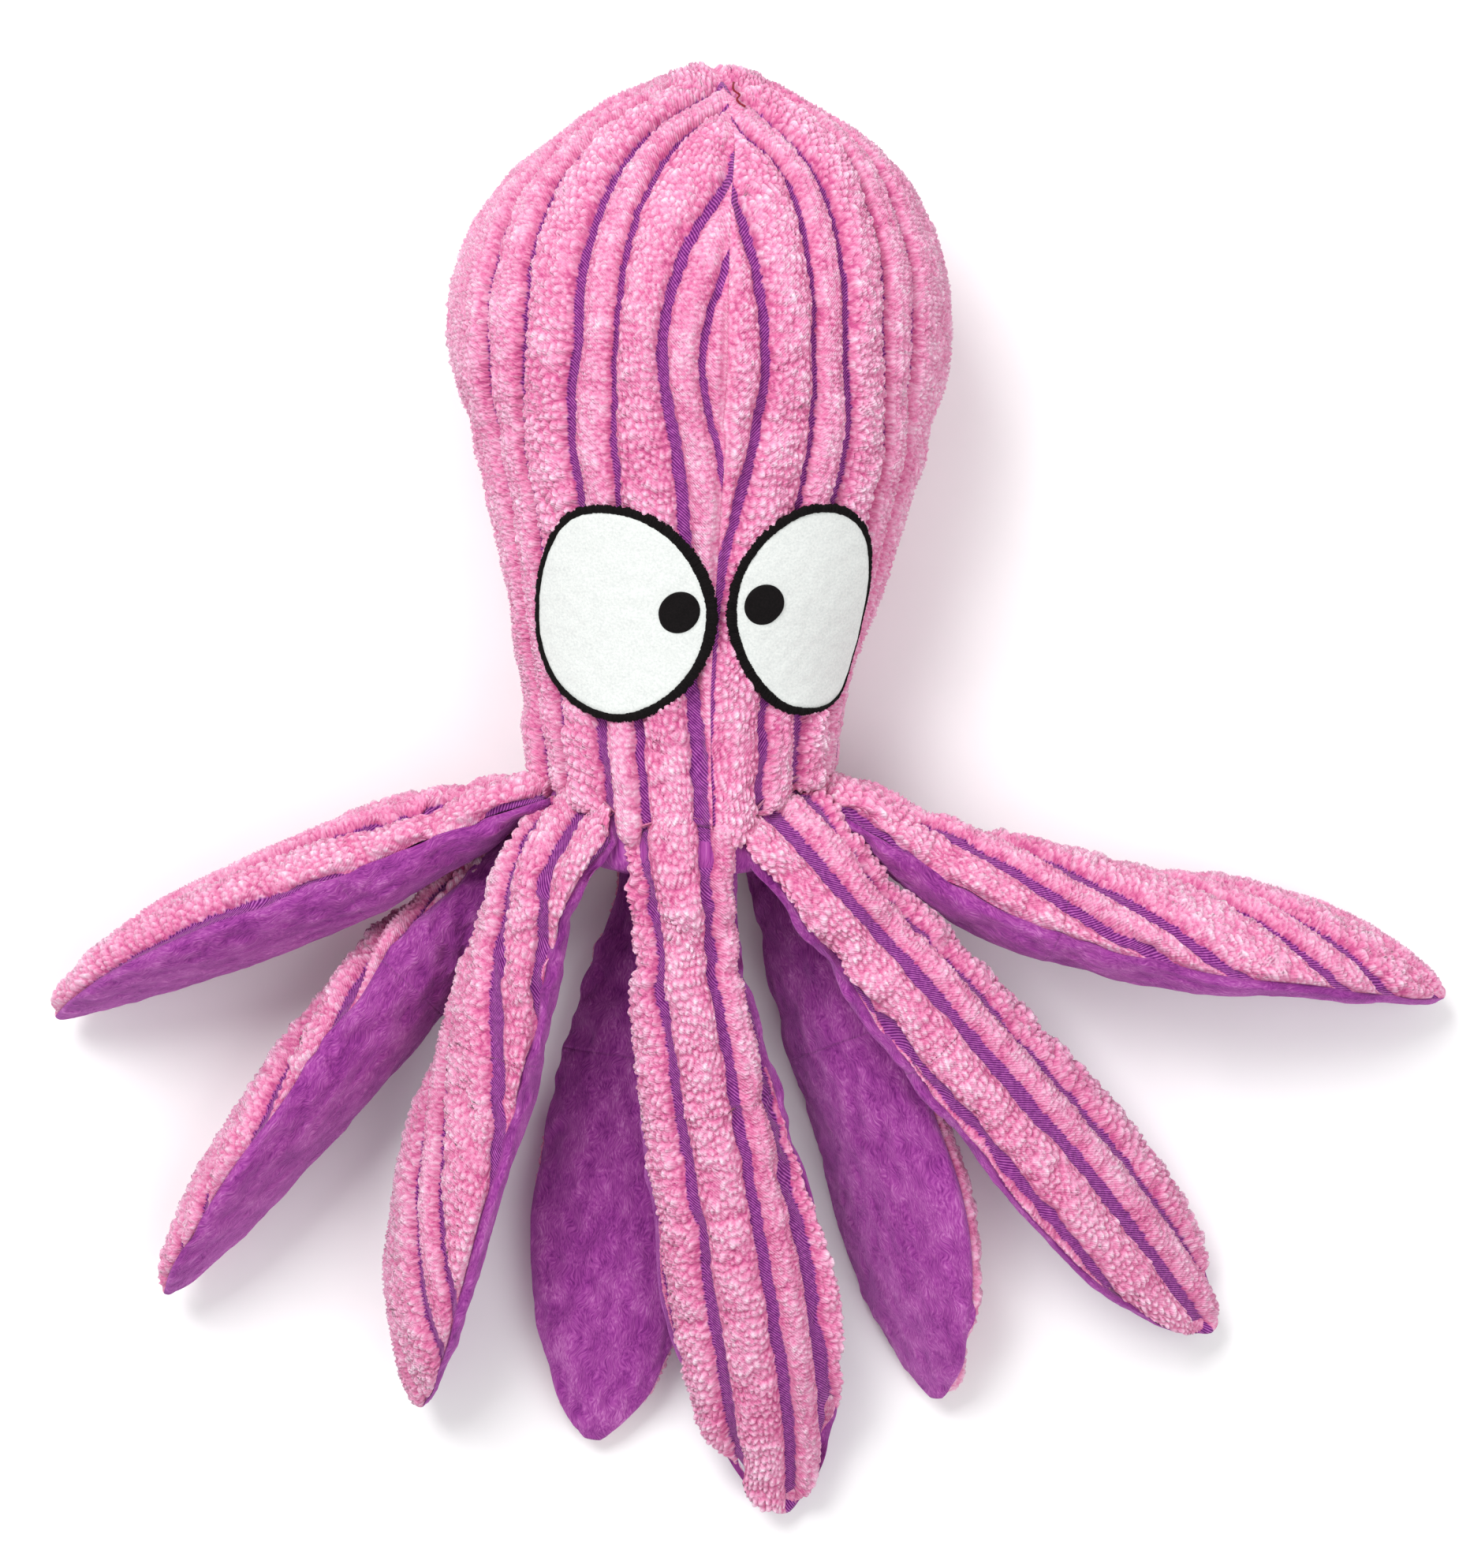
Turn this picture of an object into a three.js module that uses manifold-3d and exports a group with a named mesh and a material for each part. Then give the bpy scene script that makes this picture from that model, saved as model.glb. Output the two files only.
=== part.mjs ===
// A plush octopus lying on its back. The head is three sewn gores round two blocks of
// fibre filling with a squeaker between them. Eight flat paddle legs hang from the neck,
// each with a striped outer face and a smooth inner face, and each bends at its root and
// halfway along. Millimetres. +Z is up from the surface it lies on, +Y is towards the
// crown, and the face looks along +Z. Left is -X and right is +X.
// The origin is on the surface, in the middle of the flattened patch behind the head.
import * as THREE from 'three';
import { mergeVertices } from 'three/addons/utils/BufferGeometryUtils.js';
import Module from 'manifold-3d';

const wasm = await Module();
wasm.setup();

// Driving dimensions.
const GAP = 0.3;              // clearance between touching pieces
const CLOTH = 4;              // thickness of the head cloth with its pile
const CROWN_Y = 62.5;
const NECK_Y = -109;
const NECK_RISE = 13;         // the neck's edge is this much higher at its sides
const NECK = { x: -3, z: 34, ringX: 30.5, ringZ: 24 };  // ellipse that carries the leg roots
const SPLIT_Z = 40;           // plane between the front and back filling
const KNEE_AT = 0.5;          // place of the knee, as a share of the leg's length
const KNEE_CHAMFER = 30;      // degrees cut from each side of a knee
const ROOT_CHAMFER = 38;      // degrees cut from each side of a leg's root
const REACH = 150;            // further than any face of the head from the origin
const POCKET = { x: 0, y: -6, z: 40, radius: 24, halfHeight: 21 };

const HEAD_AXIS = [[-3, -140, 34], [2.3, 90, 40]];  // line that the gores are cut round

// Head sections: y, half width, half depth, centre x, centre z.
const HEAD = [
  [NECK_Y, 35.5, 29.5, -3, 34],
  [-81, 38.6, 32, -2.6, 35.5],
  [-52, 44.4, 37, -0.2, 37.5],
  [-23, 52, 42, 0.8, 39.5],
  [5, 57.6, 44, 0.5, 41],
  [27, 51.6, 39.5, 0.9, 40.5],
  [42, 39.5, 29.5, 2.4, 40],
  [53, 25, 18.5, 2.3, 40],
  [59.5, 12, 9, 2.3, 40],
  [CROWN_Y, 0, 0, 2.3, 40],
];
const SEAM_ANGLE = 9;         // the centre-front seam leans this many degrees to the right

// Leg sections: share of length, half width, outer height, inner height.
const PADDLE = [
  [0, 9.6, 6, 4],
  [0.13, 11.8, 8.6, 7],
  [0.3, 15.6, 10.2, 8.6],
  [0.5, 19.2, 10.2, 8.6],
  [0.66, 21, 9.6, 7.8],
  [0.8, 18.6, 8, 6.2],
  [0.92, 12.4, 5.2, 3.8],
  [0.98, 6.4, 2.8, 2.2],
  [1, 2, 1, 0.8],
];

// Legs by place round the neck. angle is the place on the neck ellipse in degrees, from
// +X over +Z. route is the middle of the leg from its root to its tip. roll turns the
// section about the route, in degrees at the root and by the tip. thick multiplies the
// heights of its sections beyond the root.
const LEGS = {
  front: {
    angle: 90, roll: [0, 4], thick: 1.1,
    route: [[-2.5, -111.5, 58], [-3, -127, 54], [-1, -150, 47.5], [3, -176, 40], [8.5, -204, 33],
      [14, -232, 24], [18, -256, 12.5], [19.5, -272, 5]],
  },
  front_left: {
    angle: 135, roll: [14, 28], thick: 1.15,
    route: [[-25, -109, 51.5], [-34, -121, 50.5], [-40.5, -140, 45.5], [-47.5, -166, 38.5], [-56.5, -194, 32],
      [-62.5, -220, 23.5], [-65.5, -246, 10]],
  },
  left: {
    angle: 180, roll: [-4, 4], thick: 1.3,
    route: [[-34.5, -104.2, 34], [-45, -107.8, 34], [-59, -113, 32], [-74, -119.5, 29.5], [-91, -127, 27],
      [-111, -135.5, 23], [-130, -144.4, 17.2], [-149.5, -155.7, 8.8]],
  },
  back_left: {
    angle: 225, roll: [-18, -54], thick: 1.25,
    route: [[-25, -109.5, 17], [-38, -119, 17.5], [-53.5, -133, 18.5], [-69, -149, 20.3], [-83, -166, 21.3],
      [-98.6, -185, 21], [-112.2, -204, 17.5], [-124, -220, 10]],
  },
  back: {
    angle: 270, roll: [0, 4], thick: 1,
    route: [[-3, -111, 11.2], [-8, -128, 11.2], [-13, -151, 11.4], [-17, -177, 11.4], [-19, -204, 11],
      [-21.5, -231, 9.2], [-25, -255, 5]],
  },
  back_right: {
    angle: 315, roll: [0, 8], thick: 1.1,
    route: [[18, -109.5, 17], [23, -128, 17], [30, -150, 17.5], [38.5, -173, 18], [46.5, -197, 17],
      [51.5, -222, 13.5], [55.5, -245, 7]],
  },
  right: {
    angle: 0, roll: [16, 27], thick: 1.35,
    route: [[28.5, -104.2, 34], [37.6, -108.8, 34.5], [50, -116.6, 33.5], [67, -125.4, 31.5],
      [89, -132.5, 28], [112.6, -136.5, 24], [139, -140, 18.6], [157.4, -145, 13.4], [174, -150.5, 7.6]],
  },
  front_right: {
    angle: 45, roll: [0, -8], thick: 1.1,
    route: [[18.5, -109.5, 51.5], [27, -121, 50], [38.5, -135.5, 45.5], [54, -153.5, 40.5], [71, -172, 34],
      [89, -192, 26.5], [105.5, -212, 17.5], [120.5, -228.5, 7.5]],
  },
};

// Eyes on the head's front: middle and half sizes along the head's length and round it.
const EYES = {
  left: { y: -62.5, round: -18.3, halfLength: 21.8, halfRound: 20.4, lean: 14, pupil: [-63.2, -2.8] },
  right: { y: -62, round: 28.4, halfLength: 21.8, halfRound: 20, lean: -14, pupil: [-61.8, 15.6] },
};
const EYE_LIFT = 0.4;
const FELT = 1.4;
const OUTLINE = 2.2;
const PUPIL = { radius: 4.6, height: 1 };

const COLOURS = {
  striped: ['#e29ab8', 0.95],
  smooth: ['#83318a', 0.9],
  felt: ['#f2f4f1', 0.95],
  stitch: ['#17110f', 0.9],
  fibre: ['#efece6', 1],
  film: ['#c8ccd2', 0.3],
  plastic: ['#e9e6dc', 0.5],
  thread: ['#8a1d2c', 0.8],
};
const MATERIALS = Object.fromEntries(Object.entries(COLOURS).map(([slot, [color, roughness]]) => (
  [slot, new THREE.MeshStandardMaterial({ name: slot, color, roughness, metalness: 0 })])));

const group = new THREE.Group();
const radians = THREE.MathUtils.degToRad;

function add(name, geometry, slot) {
  const mesh = new THREE.Mesh(geometry, MATERIALS[slot]);
  mesh.name = name;
  group.add(mesh);
}

// Smooth curve through the rows of a table. Column 0 is the place, the rest are values.
function sample(table, at) {
  const last = table.length - 1;
  let row = 0;
  while (row < last - 1 && at > table[row + 1][0]) row += 1;
  const slope = (i, column) => {
    const low = Math.max(i - 1, 0);
    const high = Math.min(i + 1, last);
    return (table[high][column] - table[low][column]) / (table[high][0] - table[low][0]);
  };
  const span = table[row + 1][0] - table[row][0];
  const share = THREE.MathUtils.clamp((at - table[row][0]) / span, 0, 1);
  const square = share * share;
  const cube = square * share;
  const values = [];
  for (let column = 1; column < table[0].length; column += 1) {
    values.push(table[row][column] * (2 * cube - 3 * square + 1)
      + table[row + 1][column] * (3 * square - 2 * cube)
      + slope(row, column) * span * (cube - 2 * square + share)
      + slope(row + 1, column) * span * (cube - square));
  }
  return values;
}

// Closed surface over rings of points. A ring of one point is a pole, and an open end
// ring is capped by a fan from its point number hub. flip turns the faces round.
function loft(rings, { hub = 0, flip = false } = {}) {
  const points = rings.flat();
  const starts = [];
  let count = 0;
  for (const ring of rings) {
    starts.push(count);
    count += ring.length;
  }
  const faces = [];
  const face = (a, b, c) => faces.push(...(flip ? [a, b, c] : [a, c, b]));
  for (let i = 0; i < rings.length - 1; i += 1) {
    const size = Math.max(rings[i].length, rings[i + 1].length);
    const at = (ring, k) => starts[ring] + (k % size) % rings[ring].length;
    for (let k = 0; k < size; k += 1) {
      if (rings[i + 1].length > 1) face(at(i, k), at(i + 1, k), at(i + 1, k + 1));
      if (rings[i].length > 1) face(at(i, k), at(i + 1, k + 1), at(i, k + 1));
    }
  }
  const cap = (ring, start, end) => {
    for (let k = 1; k < ring.length - 1; k += 1) {
      const b = start + (hub + k) % ring.length;
      const c = start + (hub + k + 1) % ring.length;
      face(start + hub, end ? c : b, end ? b : c);
    }
  };
  cap(rings[0], starts[0], false);
  cap(rings.at(-1), starts.at(-1), true);
  const geometry = new THREE.BufferGeometry();
  geometry.setAttribute('position', new THREE.Float32BufferAttribute(points.flatMap((p) => p.toArray()), 3));
  geometry.setIndex(faces);
  return geometry;
}

function toSolid(geometry) {
  const bare = geometry.clone();
  bare.deleteAttribute('normal');
  bare.deleteAttribute('uv');
  const merged = mergeVertices(bare, 1e-3);
  const index = Array.from(merged.index.array);
  const kept = [];
  for (let i = 0; i < index.length; i += 3) {
    const [a, b, c] = index.slice(i, i + 3);
    if (a !== b && b !== c && c !== a) kept.push(a, b, c);
  }
  return new wasm.Manifold(new wasm.Mesh({
    numProp: 3,
    vertProperties: new Float32Array(merged.attributes.position.array),
    triVerts: new Uint32Array(kept),
  }));
}

function toGeometry(solid) {
  const mesh = solid.getMesh();
  const geometry = new THREE.BufferGeometry();
  geometry.setAttribute('position', new THREE.BufferAttribute(new Float32Array(mesh.vertProperties), 3));
  geometry.setIndex(Array.from(mesh.triVerts));
  return geometry;
}

// A block from low to high corner.
function block(low, high) {
  const size = high.map((value, i) => value - low[i]);
  const geometry = new THREE.BoxGeometry(...size);
  geometry.translate(...low.map((value, i) => value + size[i] / 2));
  return toSolid(geometry);
}

// Point on the head's section at y. turn is in degrees from the top towards +X.
function headPoint(y, turn, inset = 0) {
  const [halfWidth, halfDepth, x, z] = sample(HEAD, y);
  const angle = radians(turn);
  return new THREE.Vector3(
    x + Math.max(halfWidth - inset, 0) * Math.sin(angle),
    y,
    z + Math.max(halfDepth - inset, 0) * Math.cos(angle),
  );
}

function headSolid(inset, neckY, floor, around) {
  const places = [neckY, -92, -78, -64, -50, -37, -23, -9, 5, 16, 27, 35, 42, 48, 53, 57, 60];
  const rings = places.map((y) => Array.from({ length: around }, (_, k) => {
    const turn = (360 * k) / around;
    const rise = NECK_RISE * Math.sin(radians(turn)) ** 2 * THREE.MathUtils.smoothstep(-y, 50, -NECK_Y);
    return headPoint(y + rise, turn, inset);
  }));
  const [, , x, z] = sample(HEAD, CROWN_Y);
  const crown = CROWN_Y - inset * 1.2;
  const kept = rings.filter((ring) => ring[0].y < crown - 1 && ring[0].z - z > 2);
  kept.push([new THREE.Vector3(x, crown, z)]);
  const solid = toSolid(loft(kept));
  return solid.subtract(block([-REACH, -REACH, -REACH], [REACH, REACH, floor]));
}

// Wedge along the head between two turns, with its edge on the head's axis.
function gore(from, to) {
  const ends = HEAD_AXIS.map(([x, y, z]) => {
    const steps = 4;
    const rim = Array.from({ length: steps + 1 }, (_, k) => {
      const angle = radians(from + ((to - from) * k) / steps);
      return new THREE.Vector3(x + REACH * Math.sin(angle), y, z + REACH * Math.cos(angle));
    });
    const middle = radians((from + to) / 2);
    const back = GAP / 2 / Math.sin(radians((to - from) / 2));
    const shift = new THREE.Vector3(back * Math.sin(middle), 0, back * Math.cos(middle));
    return [new THREE.Vector3(x, y, z), ...rim].map((point) => point.add(shift));
  });
  return toSolid(loft(ends));
}

function makeHead() {
  const shell = headSolid(0, NECK_Y, 0, 32).subtract(headSolid(CLOTH, NECK_Y - 8, CLOTH, 24));
  const side = 90;
  const panels = {
    head_front_left: [-side, SEAM_ANGLE],
    head_front_right: [SEAM_ANGLE, side],
    head_back: [side, 360 - side],
  };
  for (const [name, [from, to]] of Object.entries(panels)) {
    add(name, toGeometry(shell.intersect(gore(from, to))), 'striped');
  }
}

function makeFilling() {
  const inset = CLOTH + GAP * 1.6;
  const core = headSolid(inset, NECK_Y + 2, inset, 16);
  const pocket = new THREE.SphereGeometry(1, 16, 10);
  pocket.rotateX(Math.PI / 2);
  pocket.scale(POCKET.radius, POCKET.radius, POCKET.halfHeight);
  pocket.translate(POCKET.x, POCKET.y, POCKET.z);
  const filling = core.subtract(toSolid(pocket));
  const front = block([-REACH, -REACH, SPLIT_Z + GAP / 2], [REACH, REACH, REACH]);
  const back = block([-REACH, -REACH, -REACH], [REACH, REACH, SPLIT_Z - GAP / 2]);
  add('stuffing_front', toGeometry(filling.intersect(front)), 'fibre');
  add('stuffing_back', toGeometry(filling.intersect(back)), 'fibre');
}

// Round cloth that closes the neck between the leg roots.
function makeBase() {
  const thickness = 3;
  const halves = [NECK.ringX - 7.5, NECK.ringZ - 7.5];
  const ring = (y, share) => Array.from({ length: 24 }, (_, k) => {
    const angle = (2 * Math.PI * k) / 24;
    return new THREE.Vector3(
      NECK.x + halves[0] * share * Math.sin(angle), y, NECK.z + halves[1] * share * Math.cos(angle));
  });
  const front = NECK_Y + 2 - GAP;
  const geometry = loft([
    [new THREE.Vector3(NECK.x, front - thickness - 3, NECK.z)],
    ring(front - thickness - 2, 0.6), ring(front - thickness, 1), ring(front, 1),
    [new THREE.Vector3(NECK.x, front, NECK.z)],
  ]);
  add('base_panel', geometry, 'smooth');
}

// Squeaker: a soft bulb with its mouth towards the face, and a plug with a reed in it.
function makeSqueaker() {
  const lathe = (profile) => {
    const geometry = new THREE.LatheGeometry(profile.map(([r, h]) => new THREE.Vector2(r, h)), 16);
    geometry.rotateX(Math.PI / 2);
    geometry.translate(POCKET.x, POCKET.y, POCKET.z - 2);
    return toGeometry(toSolid(geometry));
  };
  const wall = 1.2;
  const mouth = 5.9;
  add('squeaker_bladder', lathe([
    [0, -16], [12, -15], [19, -9], [21, -1], [18, 7], [11, 11], [mouth + wall, 12.5],
    [mouth + wall, 15], [mouth, 15], [mouth, 11.8], [10.4, 9.8], [17, 6.1], [21 - wall, -1],
    [18, -8.3], [11.5, -13.8], [0, -16 + wall],
  ]), 'plastic');
  add('squeaker_plug', lathe([
    [1.85, 9.5], [mouth - GAP, 9.5], [mouth - GAP, 15 + GAP], [8.2, 15 + GAP], [8.2, 17],
    [1.85, 17], [1.85, 9.5],
  ]), 'plastic');
  const reed = new THREE.BoxGeometry(3, 0.5, 9);
  reed.translate(POCKET.x, POCKET.y, POCKET.z + 9);
  add('squeaker_reed', reed, 'plastic');
}

// Point above the head cloth, from millimetres along the head and round it from the top.
function facePoint(y, round, lift) {
  const [halfWidth, halfDepth] = sample(HEAD, y);
  const step = 1;
  let turn = 0;
  let travelled = 0;
  while (travelled < Math.abs(round)) {
    const angle = radians(turn + step / 2);
    const arc = radians(step) * Math.hypot(halfWidth * Math.cos(angle), halfDepth * Math.sin(angle));
    const share = Math.min(1, (Math.abs(round) - travelled) / arc);
    turn += step * share;
    travelled += arc;
  }
  return headPoint(y, Math.sign(round) * turn, -lift);
}

// Solid on the head between two lifts, over an oval that is outer millimetres larger than
// the eye. Where inner isn't 0 it is a ring that starts inner millimetres outside the eye.
function facePatch(eye, inner, outer, low, high, around) {
  const lean = radians(eye.lean);
  const ring = (share, grow, lift) => Array.from({ length: around }, (_, k) => {
    const angle = (2 * Math.PI * k) / around;
    const along = (eye.halfLength * share + grow) * Math.cos(angle);
    const across = (eye.halfRound * share + grow) * Math.sin(angle);
    return facePoint(
      eye.y + along * Math.cos(lean) - across * Math.sin(lean),
      eye.round + along * Math.sin(lean) + across * Math.cos(lean),
      lift,
    );
  });
  if (inner) {
    const loop = [ring(1, inner, low), ring(1, outer, low), ring(1, outer, high), ring(1, inner, high)];
    const tube = Array.from({ length: around }, (_, k) => loop.map((side) => side[k]));
    return closedTube(tube);
  }
  return loft([
    [facePoint(eye.y, eye.round, low)], ring(0.5, 0, low), ring(1, outer, low),
    ring(1, outer, high), ring(0.5, 0, high), [facePoint(eye.y, eye.round, high)],
  ], { flip: true });
}

// Surface over a closed loop of sections.
function closedTube(sections) {
  const size = sections[0].length;
  const faces = [];
  sections.forEach((_, i) => {
    for (let k = 0; k < size; k += 1) {
      const next = (i + 1) % sections.length;
      const a = i * size + k;
      const b = i * size + ((k + 1) % size);
      const c = next * size + k;
      const d = next * size + ((k + 1) % size);
      faces.push(a, b, d, a, d, c);
    }
  });
  const geometry = new THREE.BufferGeometry();
  const points = sections.flat().flatMap((point) => point.toArray());
  geometry.setAttribute('position', new THREE.Float32BufferAttribute(points, 3));
  geometry.setIndex(faces);
  return geometry;
}

function makeEyes() {
  for (const [side, eye] of Object.entries(EYES)) {
    const top = EYE_LIFT + FELT;
    add(`eye_felt_${side}`, facePatch(eye, 0, -GAP, EYE_LIFT, top, 28), 'felt');
    add(`eye_outline_${side}`, facePatch(eye, GAP, OUTLINE, EYE_LIFT, top + 0.6, 32), 'stitch');
    const pupil = {
      y: eye.pupil[0], round: eye.pupil[1], halfLength: PUPIL.radius, halfRound: PUPIL.radius, lean: 0,
    };
    add(`pupil_${side}`, facePatch(pupil, 0, 0, top + GAP, top + GAP + PUPIL.height, 14), 'stitch');
  }
}

// Loose end of sewing thread at the crown.
function makeThread() {
  const places = [[56.5, 7], [54.5, 5.2], [52.5, 6.8], [50, 9]];
  const path = new THREE.CatmullRomCurve3(places.map(([y, round]) => facePoint(y, round, 1.6)));
  const radius = 0.6;
  const section = new THREE.Shape().absarc(0, 0, radius, 0, 2 * Math.PI);
  const geometry = new THREE.ExtrudeGeometry(section, { steps: 8, curveSegments: 3, extrudePath: path });
  add('crown_thread', toGeometry(toSolid(geometry)), 'thread');
}

// Place, direction, width and outer normal of a leg at evenly spaced shares of its length.
function legFrames(leg, count) {
  const places = [];
  let length = 0;
  leg.route.forEach((point, i) => {
    if (i) length += Math.hypot(...point.map((value, k) => value - leg.route[i - 1][k]));
    places.push([length, ...point]);
  });
  const at = (share) => new THREE.Vector3(...sample(places, share * length));
  const angle = radians(leg.angle);
  let normal = new THREE.Vector3(Math.cos(angle) / NECK.ringX, 0, Math.sin(angle) / NECK.ringZ).normalize();
  const frames = [];
  for (let i = 0; i <= count; i += 1) {
    const share = i / count;
    const nudge = 0.004;
    const along = at(Math.min(share + nudge, 1)).sub(at(Math.max(share - nudge, 0))).normalize();
    normal = normal.clone().addScaledVector(along, -normal.dot(along)).normalize();
    const turn = radians(THREE.MathUtils.lerp(...leg.roll, THREE.MathUtils.smoothstep(share, 0, 0.7)));
    const outer = normal.clone().applyAxisAngle(along, turn);
    const thick = THREE.MathUtils.lerp(1, leg.thick, THREE.MathUtils.smoothstep(share, 0.05, 0.35));
    frames.push({ share, place: at(share), along, outer, width: along.clone().cross(outer), thick });
  }
  return frames;
}

// Section of half a leg: an arc over one face, closed along the seam plane. side is 1 on
// the outer face and -1 on the inner. chamfer leans the section back by its height.
function legSection(frame, side, gap, chamfer) {
  const arc = 6;
  const [halfWidth, outerHeight, innerHeight] = sample(PADDLE, frame.share);
  const height = frame.thick * (side > 0 ? outerHeight : innerHeight);
  const point = (across, up) => frame.place.clone()
    .addScaledVector(frame.width, across * halfWidth)
    .addScaledVector(frame.outer, side * (gap + up))
    .addScaledVector(frame.along, -chamfer * (gap + up));
  const ring = [point(0, 0)];
  for (let k = 0; k <= arc; k += 1) {
    const across = Math.cos((Math.PI * k) / arc);
    ring.push(point(across, height * (1 - across * across) ** 0.6 + 0.01));
  }
  return ring;
}

function makeLegs() {
  const count = 16;
  const knee = count * KNEE_AT;
  const film = { from: 10, to: 15, width: 0.72, thickness: 0.3 };
  for (const [place, leg] of Object.entries(LEGS)) {
    const frames = legFrames(leg, count);
    for (const [face, side, slot] of [['outer', 1, 'striped'], ['inner', -1, 'smooth']]) {
      const half = (first, last, gap) => {
        const rings = frames.slice(first, last + 1).map((frame, i) => {
          const root = first === 0 && i === 0;
          const bend = (first === knee && i === 0) || (last === knee && first + i === knee);
          const lean = Math.tan(radians(root ? ROOT_CHAMFER : KNEE_CHAMFER));
          const way = i === 0 ? -1 : 1;
          return legSection(frame, side, gap, root || bend ? way * lean : 0);
        });
        return loft(rings, { flip: side > 0 });
      };
      add(`leg_${place}_${face}_root`, half(0, knee, GAP / 2), slot);
      add(`leg_${place}_${face}_tip`, half(knee, count, GAP * 2), slot);
    }
    const sheet = frames.slice(film.from, film.to + 1).map((frame) => {
      const [halfWidth] = sample(PADDLE, frame.share);
      const corner = (across, up) => frame.place.clone()
        .addScaledVector(frame.width, across * halfWidth * film.width)
        .addScaledVector(frame.outer, (up * film.thickness) / 2);
      return [corner(0, -1), corner(1, -1), corner(1, 1), corner(0, 1), corner(-1, 1), corner(-1, -1)];
    });
    add(`leg_${place}_crinkle`, loft(sheet, { flip: true }), 'film');
  }
}

makeHead();
makeFilling();
makeBase();
makeSqueaker();
makeEyes();
makeThread();
makeLegs();

export default group;
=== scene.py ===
"""A plush octopus lying on its back: striped chenille cloth over the head and the outer
faces of the legs, smooth plush on their inner faces, felt eyes with stitched outlines.
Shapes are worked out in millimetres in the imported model's frame and made in metres."""
import math

import bpy
import numpy as np
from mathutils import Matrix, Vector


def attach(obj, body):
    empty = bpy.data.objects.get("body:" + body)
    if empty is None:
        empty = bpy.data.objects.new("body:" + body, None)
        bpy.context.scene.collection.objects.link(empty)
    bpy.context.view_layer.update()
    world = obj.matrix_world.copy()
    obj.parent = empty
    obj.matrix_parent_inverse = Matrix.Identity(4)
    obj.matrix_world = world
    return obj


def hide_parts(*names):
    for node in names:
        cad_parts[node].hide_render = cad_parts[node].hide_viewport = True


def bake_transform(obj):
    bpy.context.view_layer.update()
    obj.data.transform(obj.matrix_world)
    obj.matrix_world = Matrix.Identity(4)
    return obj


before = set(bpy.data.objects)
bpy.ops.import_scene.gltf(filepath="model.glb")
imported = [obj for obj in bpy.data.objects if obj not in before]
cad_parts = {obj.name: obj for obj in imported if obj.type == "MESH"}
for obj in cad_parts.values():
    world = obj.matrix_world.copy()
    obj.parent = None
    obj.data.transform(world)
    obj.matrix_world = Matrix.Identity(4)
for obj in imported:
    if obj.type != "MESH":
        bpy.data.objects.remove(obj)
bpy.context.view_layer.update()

MM = 0.001
FINE = 1      # pitch factor of the cloth grids

# Head sections: y, half width, half depth, centre x, centre z.
HEAD = [
    (-109, 35.5, 29.5, -3, 34), (-81, 38.6, 32, -2.6, 35.5), (-52, 44.4, 37, -0.2, 37.5),
    (-23, 52, 42, 0.8, 39.5), (5, 57.6, 44, 0.5, 41), (27, 51.6, 39.5, 0.9, 40.5),
    (42, 39.5, 29.5, 2.4, 40), (53, 25, 18.5, 2.3, 40), (59.5, 12, 9, 2.3, 40), (62.5, 0, 0, 2.3, 40),
]
NECK_Y = -109
CROWN_Y = 62.5
NECK_RISE = 13            # the neck's edge is this much higher at its sides
NECK = {"x": -3, "z": 34, "ring_x": 30.5, "ring_z": 24}
LIP = 3                   # radius of the roll where the head cloth turns in at the neck
# How far the neck's edge hangs below its line, by turn from the top in degrees. It dips
# between the legs.
NECK_EDGE = [
    (-180, 0), (-158, 3), (-135, 0), (-112, 3), (-90, 0), (-68, 2.5), (-45, 0.5), (-23, 4.8), (0, 0.8),
    (23, 4.8), (45, 0), (68, 1), (90, 0), (112, 3), (135, 0), (158, 3), (180, 0),
]
SHELL = 4                 # thickness of the head cloth with its pile

# Centre-front seam: y and its turn from the top, in degrees towards +X.
SEAM = [(-109, 10.5), (-80, 8.6), (-52, 6.6), (5, 6.7), (45, 9), (62.5, 13)]

# Leg sections: share of length, half width, outer height, inner height.
PADDLE = [
    (0, 9.6, 6, 4), (0.13, 11.8, 8.6, 7), (0.3, 15.6, 10.2, 8.6), (0.5, 19.2, 10.2, 8.6),
    (0.66, 21, 9.6, 7.8), (0.8, 18.6, 8, 6.2), (0.92, 12.4, 5.2, 3.8), (0.98, 6.4, 2.8, 2.2),
    (1, 2, 1, 0.8),
]

# Cloth. A rib of pile stands on the woven ground between two bare stripes.
GROUND = -3.1             # height of the woven ground over the CAD surface
PILE = {"wide": 3.7, "narrow": 3.1}
WIDE_RIB = 11.5           # a rib broader than this between stripe middles is a wide one
SEAM_HEIGHT = -2.2        # height of the cloth over the CAD surface at a seam
SEAM_REACH = 2.6          # the cloth draws down to a seam over this distance
STRIPE_GROWTH = {"neck": 0.35, "leg": 0.3}  # the stripes' edges stand this much further out

# Cloth simulation of the stuffed head and legs, on coarse bags in metres.
SWELL = {
    "frames": 20, "mass": 0.1, "stiffness": 12, "bending": 0.05, "pressure": 60,
    "growth": 0.03, "seam": 0.03, "hold": 0.02, "smooth": 4, "cap": 1.6,
}
HEAD_STEP = 4             # mm of y between two rows of the head's bag
HEAD_COLUMNS = 84
BAG_ROWS = 46
BAG_COLUMNS = 13          # columns of a leg's bag on each face, with both seams


# ---------------------------------------------------------------- numbers

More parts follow.
